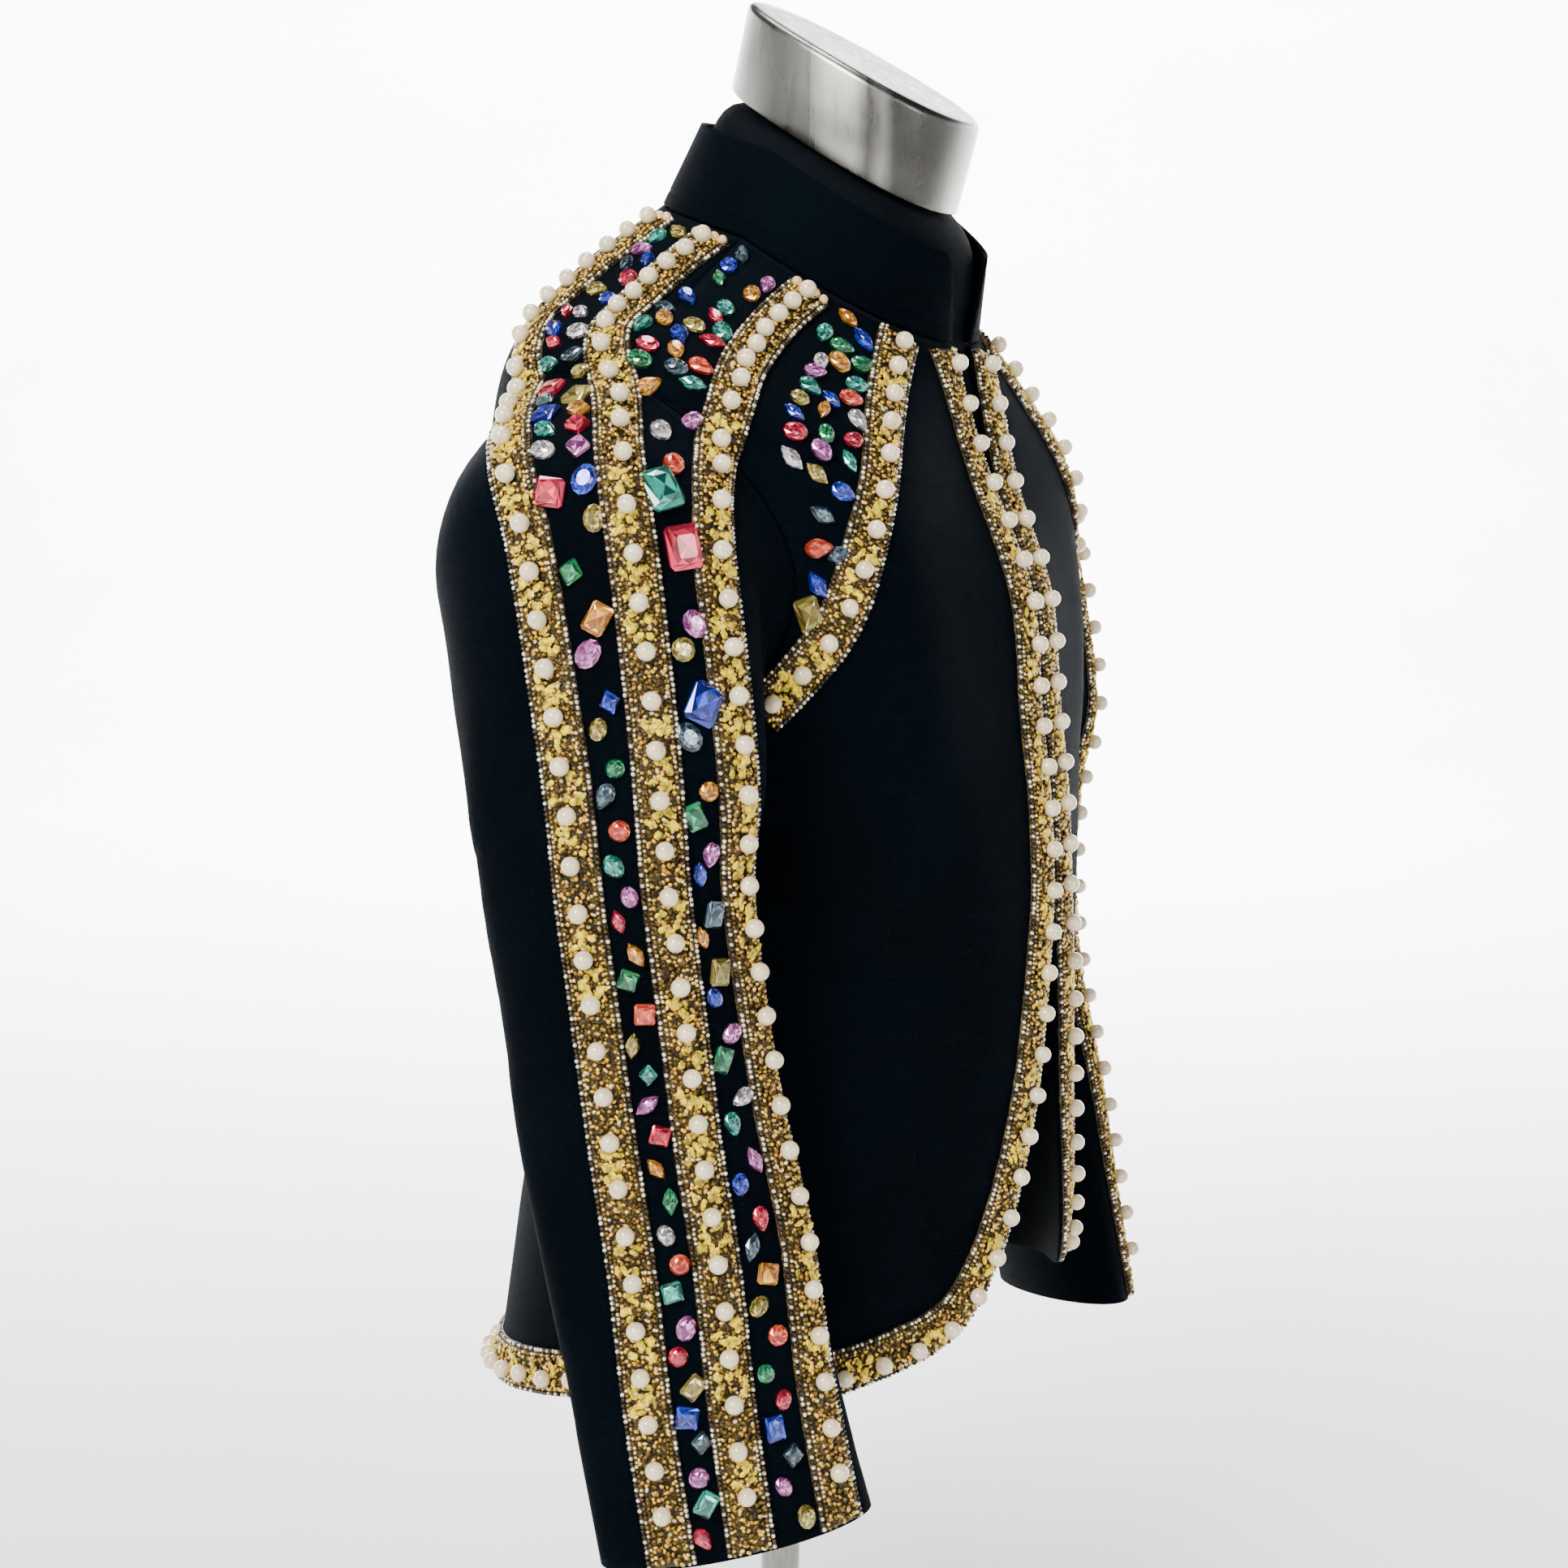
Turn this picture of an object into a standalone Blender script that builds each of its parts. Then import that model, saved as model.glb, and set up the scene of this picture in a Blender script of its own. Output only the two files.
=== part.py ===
"""A black stand-collar jacket with beaded bands, worn by a limbless dress form on a short stand.

Metres, +Z up. The jacket faces -Y and +X is the wearer's left. The origin is the middle of the
stand's underside. Heights in the tables are above the hem, and HEM_HEIGHT lifts them.
"""

import math

import bpy
import numpy as np
from mathutils import Vector
from mathutils.bvhtree import BVHTree

# Driving sizes
HEM_HEIGHT = 0.250
STAND_Y = 0.022
CLOTH = 0.0016
COLLAR_CLOTH = 0.0024
SEAM_GAP = 0.0004
SQUARENESS = 0.86

# Body of the jacket, a row for each level from the hem to the neckline.
BODY_COLUMNS = ("front_y", "front_z", "side_x", "side_y", "side_z", "back_y", "back_z")
BODY_ROWS = {
    "hem": (-0.126, 0.008, 0.170, 0.022, 0.000, 0.170, -0.032),
    "hip": (-0.132, 0.080, 0.163, 0.020, 0.072, 0.158, 0.060),
    "waist": (-0.132, 0.200, 0.156, 0.018, 0.200, 0.140, 0.190),
    "ribs": (-0.128, 0.290, 0.166, 0.020, 0.290, 0.154, 0.290),
    "underarm": (-0.119, 0.350, 0.172, 0.022, 0.350, 0.168, 0.360),
    "chest": (-0.109, 0.410, 0.182, 0.022, 0.430, 0.172, 0.440),
    "shoulder_point": (-0.098, 0.465, 0.188, 0.020, 0.520, 0.156, 0.525),
    "shoulder_slope": (-0.087, 0.505, 0.135, 0.018, 0.558, 0.132, 0.578),
    "neckline": (-0.073, 0.539, 0.079, 0.016, 0.591, 0.092, 0.614),
}
NECKLINE_LEVEL = 8.0

# How far the front stands forward of those rows: down its middle, and at each side of it.
RELIEF_COLUMNS = ("middle_mm", "bust_mm")
RELIEF_ROWS = {
    "hem": (0.0, -4.0),
    "hip": (1.0, -7.0),
    "waist": (3.0, -8.0),
    "ribs": (3.4, -3.0),
    "underarm": (4.5, 8.0),
    "chest": (7.5, 10.0),
    "shoulder_point": (-4.0, 4.0),
    "shoulder_slope": (-6.0, 0.0),
    "neckline": (0.0, 0.0),
}
MIDDLE_REACH_TURN = 16.0
BUST_TURN = 34.0
BUST_REACH_TURN = 15.0

# Armhole, an oval in turn and level whose top is the shoulder point.
ARMHOLE_LEVEL = 5.0
ARMHOLE_REACH = 1.0
ARMHOLE_FRONT_TURN = 34.0
ARMHOLE_BACK_TURN = 42.0
ARMHOLE_LEAN = 5.0
ARMHOLE_STEPS = 12

# Front edge: open at the neck, straight down the centre, then cut away in a curve to the hem.
EDGE_TURN = 0.15
NECK_LEVELS = (5.50, 6.00, 6.50, 7.00, 7.50, 8.00)
NECK_TURNS = (0.0, 0.45, 1.2, 2.4, 3.9, 5.8)
EDGE_LEVELS = (0.00, 0.07, 0.14, 0.22, 0.38, 0.65, 0.95, 1.30, 1.65, 2.10, 2.60)
EDGE_TURNS = (62.0, 46.0, 34.0, 26.0, 19.5, 15.0, 11.0, 6.7, 3.4, 1.5, 0.0)

# Stand collar, in the same columns as the body.
COLLAR_ROWS = {
    "base": (-0.0732, 0.5403, 0.0792, 0.016, 0.5923, 0.0922, 0.6153),
    "top": (-0.0790, 0.5835, 0.0690, 0.007, 0.6370, 0.0710, 0.6560),
}
COLLAR_BASE_X = 0.011
COLLAR_TOP_X = 0.020
COLLAR_ROUNDING = 0.007

# Right sleeve, a row for each section down the arm. Its outer side is raised by "rise", and
# its inner side is "inner" as deep as its outer side.
SLEEVE_COLUMNS = ("x", "y", "z", "broad", "thin", "turn", "pitch", "rise", "inner")
SLEEVE_ROWS = {
    "crown": (-0.2056, 0.0210, 0.408, 0.0790, 0.0520, 20.0, 0.00, 0.058, 0.38),
    "biceps": (-0.2232, -0.0007, 0.335, 0.0712, 0.0432, 24.0, 0.00, 0.004, 1.00),
    "arm": (-0.2232, -0.0005, 0.285, 0.0650, 0.0421, 28.0, 0.00, 0.000, 1.00),
    "elbow": (-0.2183, -0.0042, 0.235, 0.0634, 0.0381, 31.0, 0.02, 0.000, 1.00),
    "forearm_high": (-0.2150, -0.0145, 0.170, 0.0632, 0.0340, 34.0, 0.06, 0.000, 1.00),
    "forearm": (-0.2145, -0.0315, 0.105, 0.0642, 0.0324, 37.0, 0.10, 0.000, 1.00),
    "forearm_low": (-0.2145, -0.0467, 0.035, 0.0640, 0.0300, 39.0, 0.14, 0.000, 1.00),
    "cuff": (-0.2100, -0.0642, -0.038, 0.0670, 0.0275, 40.0, 0.16, 0.000, 1.00),
}
UNDERARM_PUSH = (-0.008, 0.0, -0.004)
CAP_STEPS = 5
CAP_LEAVING = 1.15
CROWN_STEP = 0.35
ROWS_PER_SECTION = 2
FRONT_COLUMNS = 9
BACK_COLUMNS = 15
COLLAR_COLUMNS = 25

# Form: levels of the jacket's body with the room left between cloth and form.
FORM_LEVELS = (0.95, 1.40, 2.00, 3.00, 4.00, 5.00, 5.80, 6.40, 7.00, 7.50, 8.00)
FORM_ROOM = (0.034, 0.024, 0.018, 0.016, 0.014, 0.012, 0.007, 0.0024, 0.0, 0.0, 0.0012)
REST_GAP = 0.0011
FORM_COLUMNS = 28
FORM_UNDERSIDE = 0.322
NECK_HEIGHTS = (0.16, 0.55, 1.00)
NECK_ROOM = 0.0032

# Cap on the form's neck, in the same columns as the body.
CAP_ROWS = {
    "bottom": (-0.0620, 0.606, 0.052, -0.0010, 0.6415, 0.0580, 0.675),
    "top": (-0.0745, 0.652, 0.052, -0.0134, 0.6865, 0.0480, 0.720),
}
CAP_EDGE = 0.004

# Stand under the form: heights from the floor and radii.
BASE_PROFILE = ((0.0000, 0.146), (0.0020, 0.150), (0.0100, 0.150), (0.0140, 0.144))
POLE_PROFILE = (
    (0.0144, 0.020), (0.0200, 0.020), (0.0240, 0.011), (0.3110, 0.011), (0.3150, 0.026), (0.3216, 0.026),
)
BASE_SIDES = 40
POLE_SIDES = 20

# Beaded bands. Paths are (turn, level) on the body and (around, along) on the right sleeve.
BAND_HALF_WIDTH = 0.0115
BAND_LIFT = 0.0007
BAND_THICKNESS = 0.0026
BAND_SETBACK = 0.0125
BAND_NEAREST = 0.0006
PATH_STEP = 0.004
SAMPLES = (0.0, 0.2, 0.4, 0.6, 0.8, 1.0)
PEARL_RADIUS = 0.00475
PEARL_PITCH = 0.021
PEARL_RISE = 0.0062
PEARL_SHIFT = 0.0025
CHEST_PATH = (
    (-34, 7.88), (-35, 7.40), (-35, 6.90), (-35, 6.00), (-41, 5.45), (-48, 4.82), (-55, 4.50), (-66, 4.12),
)
SHOULDER_PATHS = {
    "rear": (
        ((-127, 7.86), (-124, 7.50), (-123, 6.95), (-124, 6.40)),
        ((330, -0.80), (334, -0.45), (341, 0.10), (344, 0.75), (346, 1.40), (346, 2.35), (344, 3.40),
         (340, 4.35), (336, 5.15), (332, 5.90), (328, 6.98)),
    ),
    "middle": (
        ((-97, 7.86), (-98, 7.45), (-98, 7.05), (-98, 6.40)),
        ((2, -0.80), (10, -0.40), (16, -0.05), (18, 0.40), (20, 1.20), (23, 2.25), (21, 3.50), (16, 4.40),
         (12, 5.20), (8, 5.95), (2, 6.98)),
    ),
    "front": (
        ((-67, 7.86), (-70, 7.40), (-71, 7.00), (-71, 6.60)),
        ((44, -0.40), (49, 0.00), (53, 0.45), (58, 1.20), (65, 2.15), (67, 3.50), (64, 4.45), (59, 5.30),
         (53, 6.10), (46, 6.98)),
    ),
}


def smooth_rows(rows, level):
    """A table's values at fractional levels, on a Catmull-Rom curve through its rows."""
    values = np.array(list(rows.values()), float)
    slope = np.gradient(values, axis=0)
    level = np.clip(np.asarray(level, float), 0.0, len(values) - 1.0)
    low = np.minimum(level.astype(int), len(values) - 2)
    t = (level - low)[..., None]
    return (
        values[low] * (2 * t**3 - 3 * t**2 + 1)
        + slope[low] * (t**3 - 2 * t**2 + t)
        + values[low + 1] * (3 * t**2 - 2 * t**3)
        + slope[low + 1] * (t**3 - t**2)
    )


def ring_point(rows, turn, level):
    """Points of a wrapped surface. Turn is 0 at the centre front, -90 at the wearer's right."""
    turn, level = np.broadcast_arrays(np.asarray(turn, float), np.asarray(level, float))
    columns = np.moveaxis(smooth_rows(rows, level), -1, 0)
    front_y, front_z, side_x, side_y, side_z, back_y, back_z = columns
    angle = np.radians(np.abs(turn))
    reach = np.abs(np.cos(angle))
    ahead = angle < math.pi / 2
    x = np.sign(turn) * side_x * np.abs(np.sin(angle)) ** SQUARENESS
    y = side_y + (np.where(ahead, front_y, back_y) - side_y) * reach**SQUARENESS
    z = side_z + (np.where(ahead, front_z, back_z) - side_z) * reach**SQUARENESS
    return np.stack([x, y - STAND_Y, z + HEM_HEIGHT], axis=-1)


def body_point(turn, level):
    """Points of the jacket's body: its rows, with the front's relief added."""
    points = ring_point(BODY_ROWS, turn, level)
    middle, bust = np.moveaxis(smooth_rows(RELIEF_ROWS, level), -1, 0)
    turn = np.abs(turn)
    forward = middle * np.exp(-((turn / MIDDLE_REACH_TURN) ** 2))
    forward = forward + bust * np.exp(-(((turn - BUST_TURN) / BUST_REACH_TURN) ** 2))
    points[..., 1] -= 0.001 * forward
    return points


def edge_turn(levels):
    """How far round from the centre the front's edge is, at some levels."""
    turns = np.interp(levels, EDGE_LEVELS + NECK_LEVELS, EDGE_TURNS + NECK_TURNS)
    return np.maximum(turns, EDGE_TURN)


def collar_point(turn, level):
    return ring_point(COLLAR_ROWS, turn, level)


def surface_normal(surface, across, along, step_across=0.5, step_along=0.02):
    """Unit normals of a surface of two parameters, by small differences."""
    du = surface(across + step_across, along) - surface(across - step_across, along)
    dv = surface(across, along + step_along) - surface(across, along - step_along)
    return unit(np.cross(du, dv))


def armhole_width(share, reach_turn):
    """Turn from the side to the armhole's edge, at a share of its height from -1 to 1."""
    share = np.clip(share, -1.0, 1.0)
    return (reach_turn + ARMHOLE_LEAN * share) * np.sqrt(np.maximum(1.0 - share**2, 0.0))


def armhole_point(around):
    """The right armhole's edge: around is 0 at the shoulder point, 90 in front, 180 below."""
    angle = np.radians(around)
    share = np.cos(angle)
    front = np.sin(angle) >= 0
    width = np.where(
        front, armhole_width(share, ARMHOLE_FRONT_TURN), -armhole_width(share, ARMHOLE_BACK_TURN)
    )
    return body_point(-90.0 + width, ARMHOLE_LEVEL + ARMHOLE_REACH * share)


def sleeve_ring(around, level):
    """Points of the right sleeve from the crown down: around is 0 outside, 90 in front."""
    columns = np.moveaxis(smooth_rows(SLEEVE_ROWS, level), -1, 0)
    x, y, z, broad, thin, turn, pitch, rise, inner = columns
    angle, turn = np.radians(around), np.radians(turn)
    deep = np.where(np.cos(angle) < 0, inner, 1.0) * thin
    ahead, aside = broad * np.sin(angle), deep * np.cos(angle)
    ring = np.stack(
        [
            x + ahead * np.sin(turn) - aside * np.cos(turn),
            y - STAND_Y - ahead * np.cos(turn) - aside * np.sin(turn),
            z + HEM_HEIGHT + pitch * ahead + rise * np.cos(angle),
        ],
        axis=-1,
    )
    under = np.clip(-1.3 * np.cos(angle), 0.0, 1.0) ** 0.7
    share = (under * np.clip(1.0 - np.asarray(level, float), 0.0, 1.0) ** 2)[..., None]
    return ring * (1 - share) + (armhole_point(around) + np.array(UNDERARM_PUSH)) * share


def sleeve_point(around, along):
    """The right sleeve's outer surface: along is -1 at the armhole, 0 at the crown, then rows."""
    around, along = np.broadcast_arrays(np.asarray(around, float), np.asarray(along, float))
    start = armhole_point(around)
    inward = armhole_point(np.array([0.0, 90.0, 180.0, 270.0])).mean(axis=0) - start
    start = start + inward / np.linalg.norm(inward, axis=-1, keepdims=True) * SEAM_GAP
    crown = sleeve_ring(around, np.zeros_like(around))
    after = sleeve_ring(around, np.full_like(around, CROWN_STEP))
    end_slope = (after - crown) / CROWN_STEP
    reach = np.linalg.norm(crown - start, axis=-1, keepdims=True)
    end_slope *= np.minimum(1.0, reach / np.linalg.norm(end_slope, axis=-1, keepdims=True))
    start_slope = CAP_LEAVING * (crown - start) - (CAP_LEAVING - 1.0) * end_slope
    t = np.clip(along + 1.0, 0.0, 1.0)[..., None]
    cap = (
        start * (2 * t**3 - 3 * t**2 + 1)
        + start_slope * (t**3 - 2 * t**2 + t)
        + crown * (3 * t**2 - 2 * t**3)
        + end_slope * (t**3 - t**2)
    )
    lower = sleeve_ring(around, np.maximum(along, 0.0))
    return np.where((along < 0)[..., None], cap, lower)


def unit(vector):
    return vector / np.linalg.norm(vector, axis=-1, keepdims=True)


def add_material(name, colour, roughness, metallic=0.0):
    material = bpy.data.materials.new(name)
    material.use_nodes = True
    shader = material.node_tree.nodes["Principled BSDF"]
    shader.inputs["Base Color"].default_value = (*colour, 1.0)
    shader.inputs["Roughness"].default_value = roughness
    shader.inputs["Metallic"].default_value = metallic
    return material


def add_solid(name, points, faces, look):
    """One closed body from points and faces, with its own material."""
    mesh = bpy.data.meshes.new(name)
    mesh.from_pydata([tuple(map(float, p)) for p in points], [], [tuple(map(int, f)) for f in faces])
    mesh.validate()
    mesh.materials.append(add_material(name + "_look", *look))
    solid = bpy.data.objects.new(name, mesh)
    bpy.context.scene.collection.objects.link(solid)
    return solid


def mirrored(points, faces):
    """The same piece for the wearer's left."""
    return np.asarray(points) * [-1, 1, 1], [tuple(reversed(f)) for f in faces]


def grid_triangles(grid, offset=0, wrap=False):
    """Two triangles for each cell of a grid of points, parted along its shorter diagonal."""
    rows, columns = grid.shape[:2]
    triangles = []
    for i in range(rows - 1):
        for j in range(columns if wrap else columns - 1):
            k = (j + 1) % columns
            a, b = offset + i * columns + j, offset + i * columns + k
            c, d = offset + (i + 1) * columns + k, offset + (i + 1) * columns + j
            falling = np.linalg.norm(grid[i, j] - grid[i + 1, k])
            rising = np.linalg.norm(grid[i, k] - grid[i + 1, j])
            if falling <= rising:
                triangles += [(a, b, c), (a, c, d)]
            else:
                triangles += [(a, b, d), (b, c, d)]
    return triangles


def cloth_shell(outer, inner, wrap=False):
    """A closed wall between two grids. Outer faces run counterclockwise seen from outside."""
    rows, columns = outer.shape[:2]
    count = rows * columns
    points = np.concatenate([outer.reshape(-1, 3), inner.reshape(-1, 3)])
    faces = grid_triangles(outer, 0, wrap)
    faces += [tuple(reversed(f)) for f in grid_triangles(outer, count, wrap)]
    top = list(range(columns))
    bottom = [(rows - 1) * columns + j for j in reversed(range(columns))]
    if wrap:
        loops = [top, bottom]
    else:
        right = [i * columns + columns - 1 for i in range(1, rows - 1)]
        left = [i * columns for i in reversed(range(1, rows - 1))]
        loops = [top + right + bottom + left]
    for loop in loops:
        for a, b in zip(loop, loop[1:] + loop[:1]):
            faces += [(b, a, a + count), (b, a + count, b + count)]
    return points, turned_outward(points, faces)


def turned_outward(points, faces):
    """The faces, reversed if the body they close has a negative volume."""
    p = np.asarray(points)[np.asarray(faces)]
    volume = np.einsum("ij,ij->i", p[:, 0], np.cross(p[:, 1], p[:, 2])).sum()
    return faces if volume > 0 else [tuple(reversed(f)) for f in faces]


def panel_levels(lower):
    """Levels from the hem to the neckline, with the armhole's own steps between."""
    steps = np.cos(np.radians(np.linspace(180, 0, ARMHOLE_STEPS + 1)))
    armhole = ARMHOLE_LEVEL + ARMHOLE_REACH * steps
    return np.concatenate([lower, armhole, (6.5, 7.0, 7.5, NECKLINE_LEVEL)])


def draw_in(grid, column, neighbour, distance):
    """Moves one column of points towards the next by a distance."""
    step = unit(grid[:, neighbour] - grid[:, column])
    grid[:, column] += step * distance


def front_panel():
    """The right front, from its cut-away edge to the side seam, armhole and shoulder seam."""
    levels = panel_levels(np.concatenate([EDGE_LEVELS, (3.1, 3.55)]))
    edge = -edge_turn(levels)
    side = -90.0 + armhole_width((levels - ARMHOLE_LEVEL) / ARMHOLE_REACH, ARMHOLE_FRONT_TURN)
    share = np.linspace(0.0, 1.0, FRONT_COLUMNS)
    turns = edge[:, None] + (side - edge)[:, None] * share
    outer = body_point(turns, levels[:, None])
    normal = surface_normal(body_point, turns, levels[:, None])
    inner = outer - normal * CLOTH
    for grid in (outer, inner):
        draw_in(grid, -1, -2, SEAM_GAP / 2)
    return cloth_shell(outer, inner)


def back_panel():
    """The back, in one piece between the side seams, armholes and shoulder seams."""
    levels = panel_levels(np.array([0.0, 0.45, 0.95, 1.6, 2.3, 3.0, 3.55]))
    start = 90.0 + armhole_width((levels - ARMHOLE_LEVEL) / ARMHOLE_REACH, ARMHOLE_BACK_TURN)
    turns = start[:, None] + (360.0 - 2 * start)[:, None] * np.linspace(0.0, 1.0, BACK_COLUMNS)
    signed = np.where(turns > 180.0, turns - 360.0, turns)
    outer = body_point(signed, levels[:, None])
    beside = np.where(np.abs(np.abs(signed) - 180.0) < 1.0, np.sign(signed) * 179.0, signed)
    normal = surface_normal(body_point, beside, levels[:, None])
    middle = np.abs(signed) > 179.5
    normal[middle, 0] = 0.0
    inner = outer - unit(normal) * CLOTH
    for grid in (outer, inner):
        draw_in(grid, 0, 1, SEAM_GAP / 2)
        draw_in(grid, -1, -2, SEAM_GAP / 2)
    return cloth_shell(outer, inner)


def sleeve_piece():
    """The right sleeve, a tube from the armhole to the cuff."""
    around = np.arange(0, 360, 180 / ARMHOLE_STEPS)
    sections = (len(SLEEVE_ROWS) - 1) * ROWS_PER_SECTION
    along = np.concatenate(
        [np.linspace(-1, 0, CAP_STEPS + 1)[:-1], np.linspace(0, len(SLEEVE_ROWS) - 1, sections + 1)]
    )
    outer = sleeve_point(around[None, :], along[:, None])
    across = np.roll(outer, -1, axis=1) - np.roll(outer, 1, axis=1)
    normal = unit(np.cross(np.gradient(outer, axis=0), across))
    return cloth_shell(outer, outer - normal * CLOTH, wrap=True)


def collar_grid(inset=0.0):
    """The collar's outer points, from the left front round the back to the right front."""
    base_start, top_start = collar_ends()
    heights = np.array([0.0, 0.35, 0.70, 0.88, 1.0])
    grid = []
    for height in heights:
        start = base_start + (top_start - base_start) * height
        if height > 0.8:
            start += COLLAR_ROUNDING * ((height - 0.8) / 0.2) ** 2 * 600
        turns = start + (360.0 - 2 * start) * np.linspace(0.0, 1.0, COLLAR_COLUMNS)
        signed = np.where(turns > 180.0, turns - 360.0, turns)
        normal = surface_normal(collar_point, np.clip(signed, -179, 179), height, 0.5, 0.05)
        grid.append(collar_point(signed, height) - unit(normal) * inset)
    return np.array(grid)


def collar_ends():
    """Turns at which the collar's front ends start, at its base and top."""
    ends = []
    for row, x in ((COLLAR_ROWS["base"], COLLAR_BASE_X), (COLLAR_ROWS["top"], COLLAR_TOP_X)):
        ends.append(math.degrees(math.asin((x / row[2]) ** (1 / SQUARENESS))))
    return ends


def form_rings():
    """The form's cover in rings from its underside to the foot of the neck cap."""
    turns = np.linspace(-180, 180, FORM_COLUMNS + 1)[:-1]
    beside = np.where(np.abs(turns) < 1.0, 1.0, np.where(np.abs(turns) > 179.0, 179.0, turns))
    rings = []
    for level, room in zip(FORM_LEVELS, FORM_ROOM):
        normal = surface_normal(body_point, beside, min(level, NECKLINE_LEVEL - 0.03))
        normal[np.abs(beside - turns) > 0.5, 0] = 0.0
        rings.append(body_point(turns, level) - unit(normal) * (CLOTH + REST_GAP + room))
    for height in NECK_HEIGHTS:
        normal = surface_normal(collar_point, beside, height, 0.5, 0.05)
        normal[np.abs(beside - turns) > 0.5, 0] = 0.0
        ring = collar_point(turns, height) - unit(normal) * (COLLAR_CLOTH + NECK_ROOM)
        rings.append(ring)
    rings.append(ring_point(CAP_ROWS, turns, 0.0))
    rings[0][:, 2] = FORM_UNDERSIDE
    return np.array(rings)


def closed_stack(rings):
    """A closed body through rings of points, with a fan at each end."""
    rows, columns = rings.shape[:2]
    points = np.concatenate([rings.reshape(-1, 3), [rings[0].mean(axis=0)], [rings[-1].mean(axis=0)]])
    faces = grid_triangles(rings, 0, wrap=True)
    for j in range(columns):
        k = (j + 1) % columns
        faces.append((rows * columns, k, j))
        faces.append((rows * columns + 1, (rows - 1) * columns + j, (rows - 1) * columns + k))
    return points, turned_outward(points, faces)


def cap_rings():
    """The neck cap: a straight wall with a rounded top edge."""
    turns = np.linspace(-180, 180, FORM_COLUMNS + 1)[:-1]
    bottom, top = ring_point(CAP_ROWS, turns, 0.0), ring_point(CAP_ROWS, turns, 1.0)
    axis = unit(top.mean(axis=0) - bottom.mean(axis=0))
    height = np.linalg.norm(top.mean(axis=0) - bottom.mean(axis=0))
    inward = unit(top.mean(axis=0) - top)
    edge = CAP_EDGE / height
    return np.array(
        [
            bottom + axis * SEAM_GAP,
            bottom + (top - bottom) * (1 - edge),
            bottom + (top - bottom) * (1 - edge * 0.3) + inward * CAP_EDGE * 0.3,
            top + inward * CAP_EDGE,
        ]
    )


def turned_profile(profile, sides):
    """Rings of a turned piece on the stand's axis from heights and radii."""
    angle = np.linspace(0, 2 * math.pi, sides + 1)[:-1]
    return np.array([[(r * math.cos(a), r * math.sin(a), z) for a in angle] for z, r in profile])


def surface_tree(pieces):
    """A search tree of the outer faces of some cloth pieces."""
    points, faces, offset = [], [], 0
    for piece_points, piece_faces in pieces:
        points += [tuple(p) for p in piece_points]
        outer = [f for f in piece_faces if max(f) < len(piece_points) // 2]
        faces += [tuple(int(k) + offset for k in f) for f in outer]
        offset += len(piece_points)
    return BVHTree.FromPolygons(points, faces)


def nearest(tree, point):
    """The nearest point of the cloth and the direction from it to the given point's side."""
    place, normal, _, _ = tree.find_nearest(Vector(point))
    return np.array(place), np.array(normal)


def even_path(points, count):
    """A number of even steps along a path, first and last points kept."""
    points = np.asarray(points)
    length = path_length(points)
    wanted = np.linspace(0, length[-1], count + 1)
    return np.stack([np.interp(wanted, length, points[:, k]) for k in range(3)], axis=1)


def path_length(points):
    """The distance along a path at each of its points."""
    steps = np.linalg.norm(np.diff(points, axis=0), axis=1)
    return np.concatenate([[0.0], np.cumsum(steps)])


def settled_path(points, tree, passes=30):
    """A path laid on the cloth: spaced evenly, smoothed and put back on the faces."""
    path = even_path(points, int(path_length(points)[-1] / PATH_STEP))
    for _ in range(passes):
        path[1:-1] = (path[:-2] + 2 * path[1:-1] + path[2:]) / 4
        path = np.array([nearest(tree, p)[0] for p in path])
    return path


def through(stations, surface, steps=12):
    """Surface points on a smooth line through some stations of two parameters."""
    stations = np.array(stations, float)
    stations[:, 0] = np.degrees(np.unwrap(np.radians(stations[:, 0])))
    places = np.linspace(0, len(stations) - 1, (len(stations) - 1) * steps + 1)
    rows = {k: station for k, station in enumerate(stations)}
    line = smooth_rows(rows, places)
    return surface(line[:, 0], line[:, 1])


def path_frames(path, tree):
    """Directions along a path, out of the cloth, and across towards the wearer's middle."""
    ahead = unit(np.gradient(path, axis=0))
    out = np.array([nearest(tree, p)[1] for p in path])
    for _ in range(6):
        out[1:-1] = out[:-2] + out[1:-1] + out[2:]
        out = unit(out)
    out = unit(out - ahead * np.sum(out * ahead, axis=1, keepdims=True))
    return ahead, out, np.cross(ahead, out)


def edge_path():
    """The front band's line, from the neck down the right front's edge and round to the side."""
    levels = np.concatenate([np.linspace(NECKLINE_LEVEL - 0.06, 0.0, 160), np.zeros(13)])
    turns = -edge_turn(levels)
    turns[160:] = np.linspace(turns[159], -89.6, 14)[1:]
    return set_back(turns, levels)


def hem_path():
    """The back band's line along the hem, from the right side seam to the left."""
    turns = np.linspace(-90.4, -269.6, 60)
    return set_back(np.where(turns < -180, turns + 360, turns), np.zeros(60))


def set_back(turns, levels):
    """Points over the body, moved away from the cloth's edge by the band's set-back."""
    points = body_point(turns, levels)
    beside = np.where(np.abs(turns) < 1.0, -1.0, turns)
    out = surface_normal(body_point, beside, np.maximum(levels, 0.03))
    return points + np.cross(unit(np.gradient(points, axis=0)), out) * BAND_SETBACK


# A band's cell: corners and a six-sided ring for the pearl, joined by ten triangles.
RING_SIDES = 6
CELL_TRIANGLES = (
    ("C", 0, 1), ("C", 1, "B"), ("B", 1, 2), ("B", 2, "A"), ("A", 2, 3),
    ("A", 3, 4), ("A", 4, "D"), ("D", 4, 5), ("D", 5, 0), ("D", 0, "C"),
)


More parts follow.
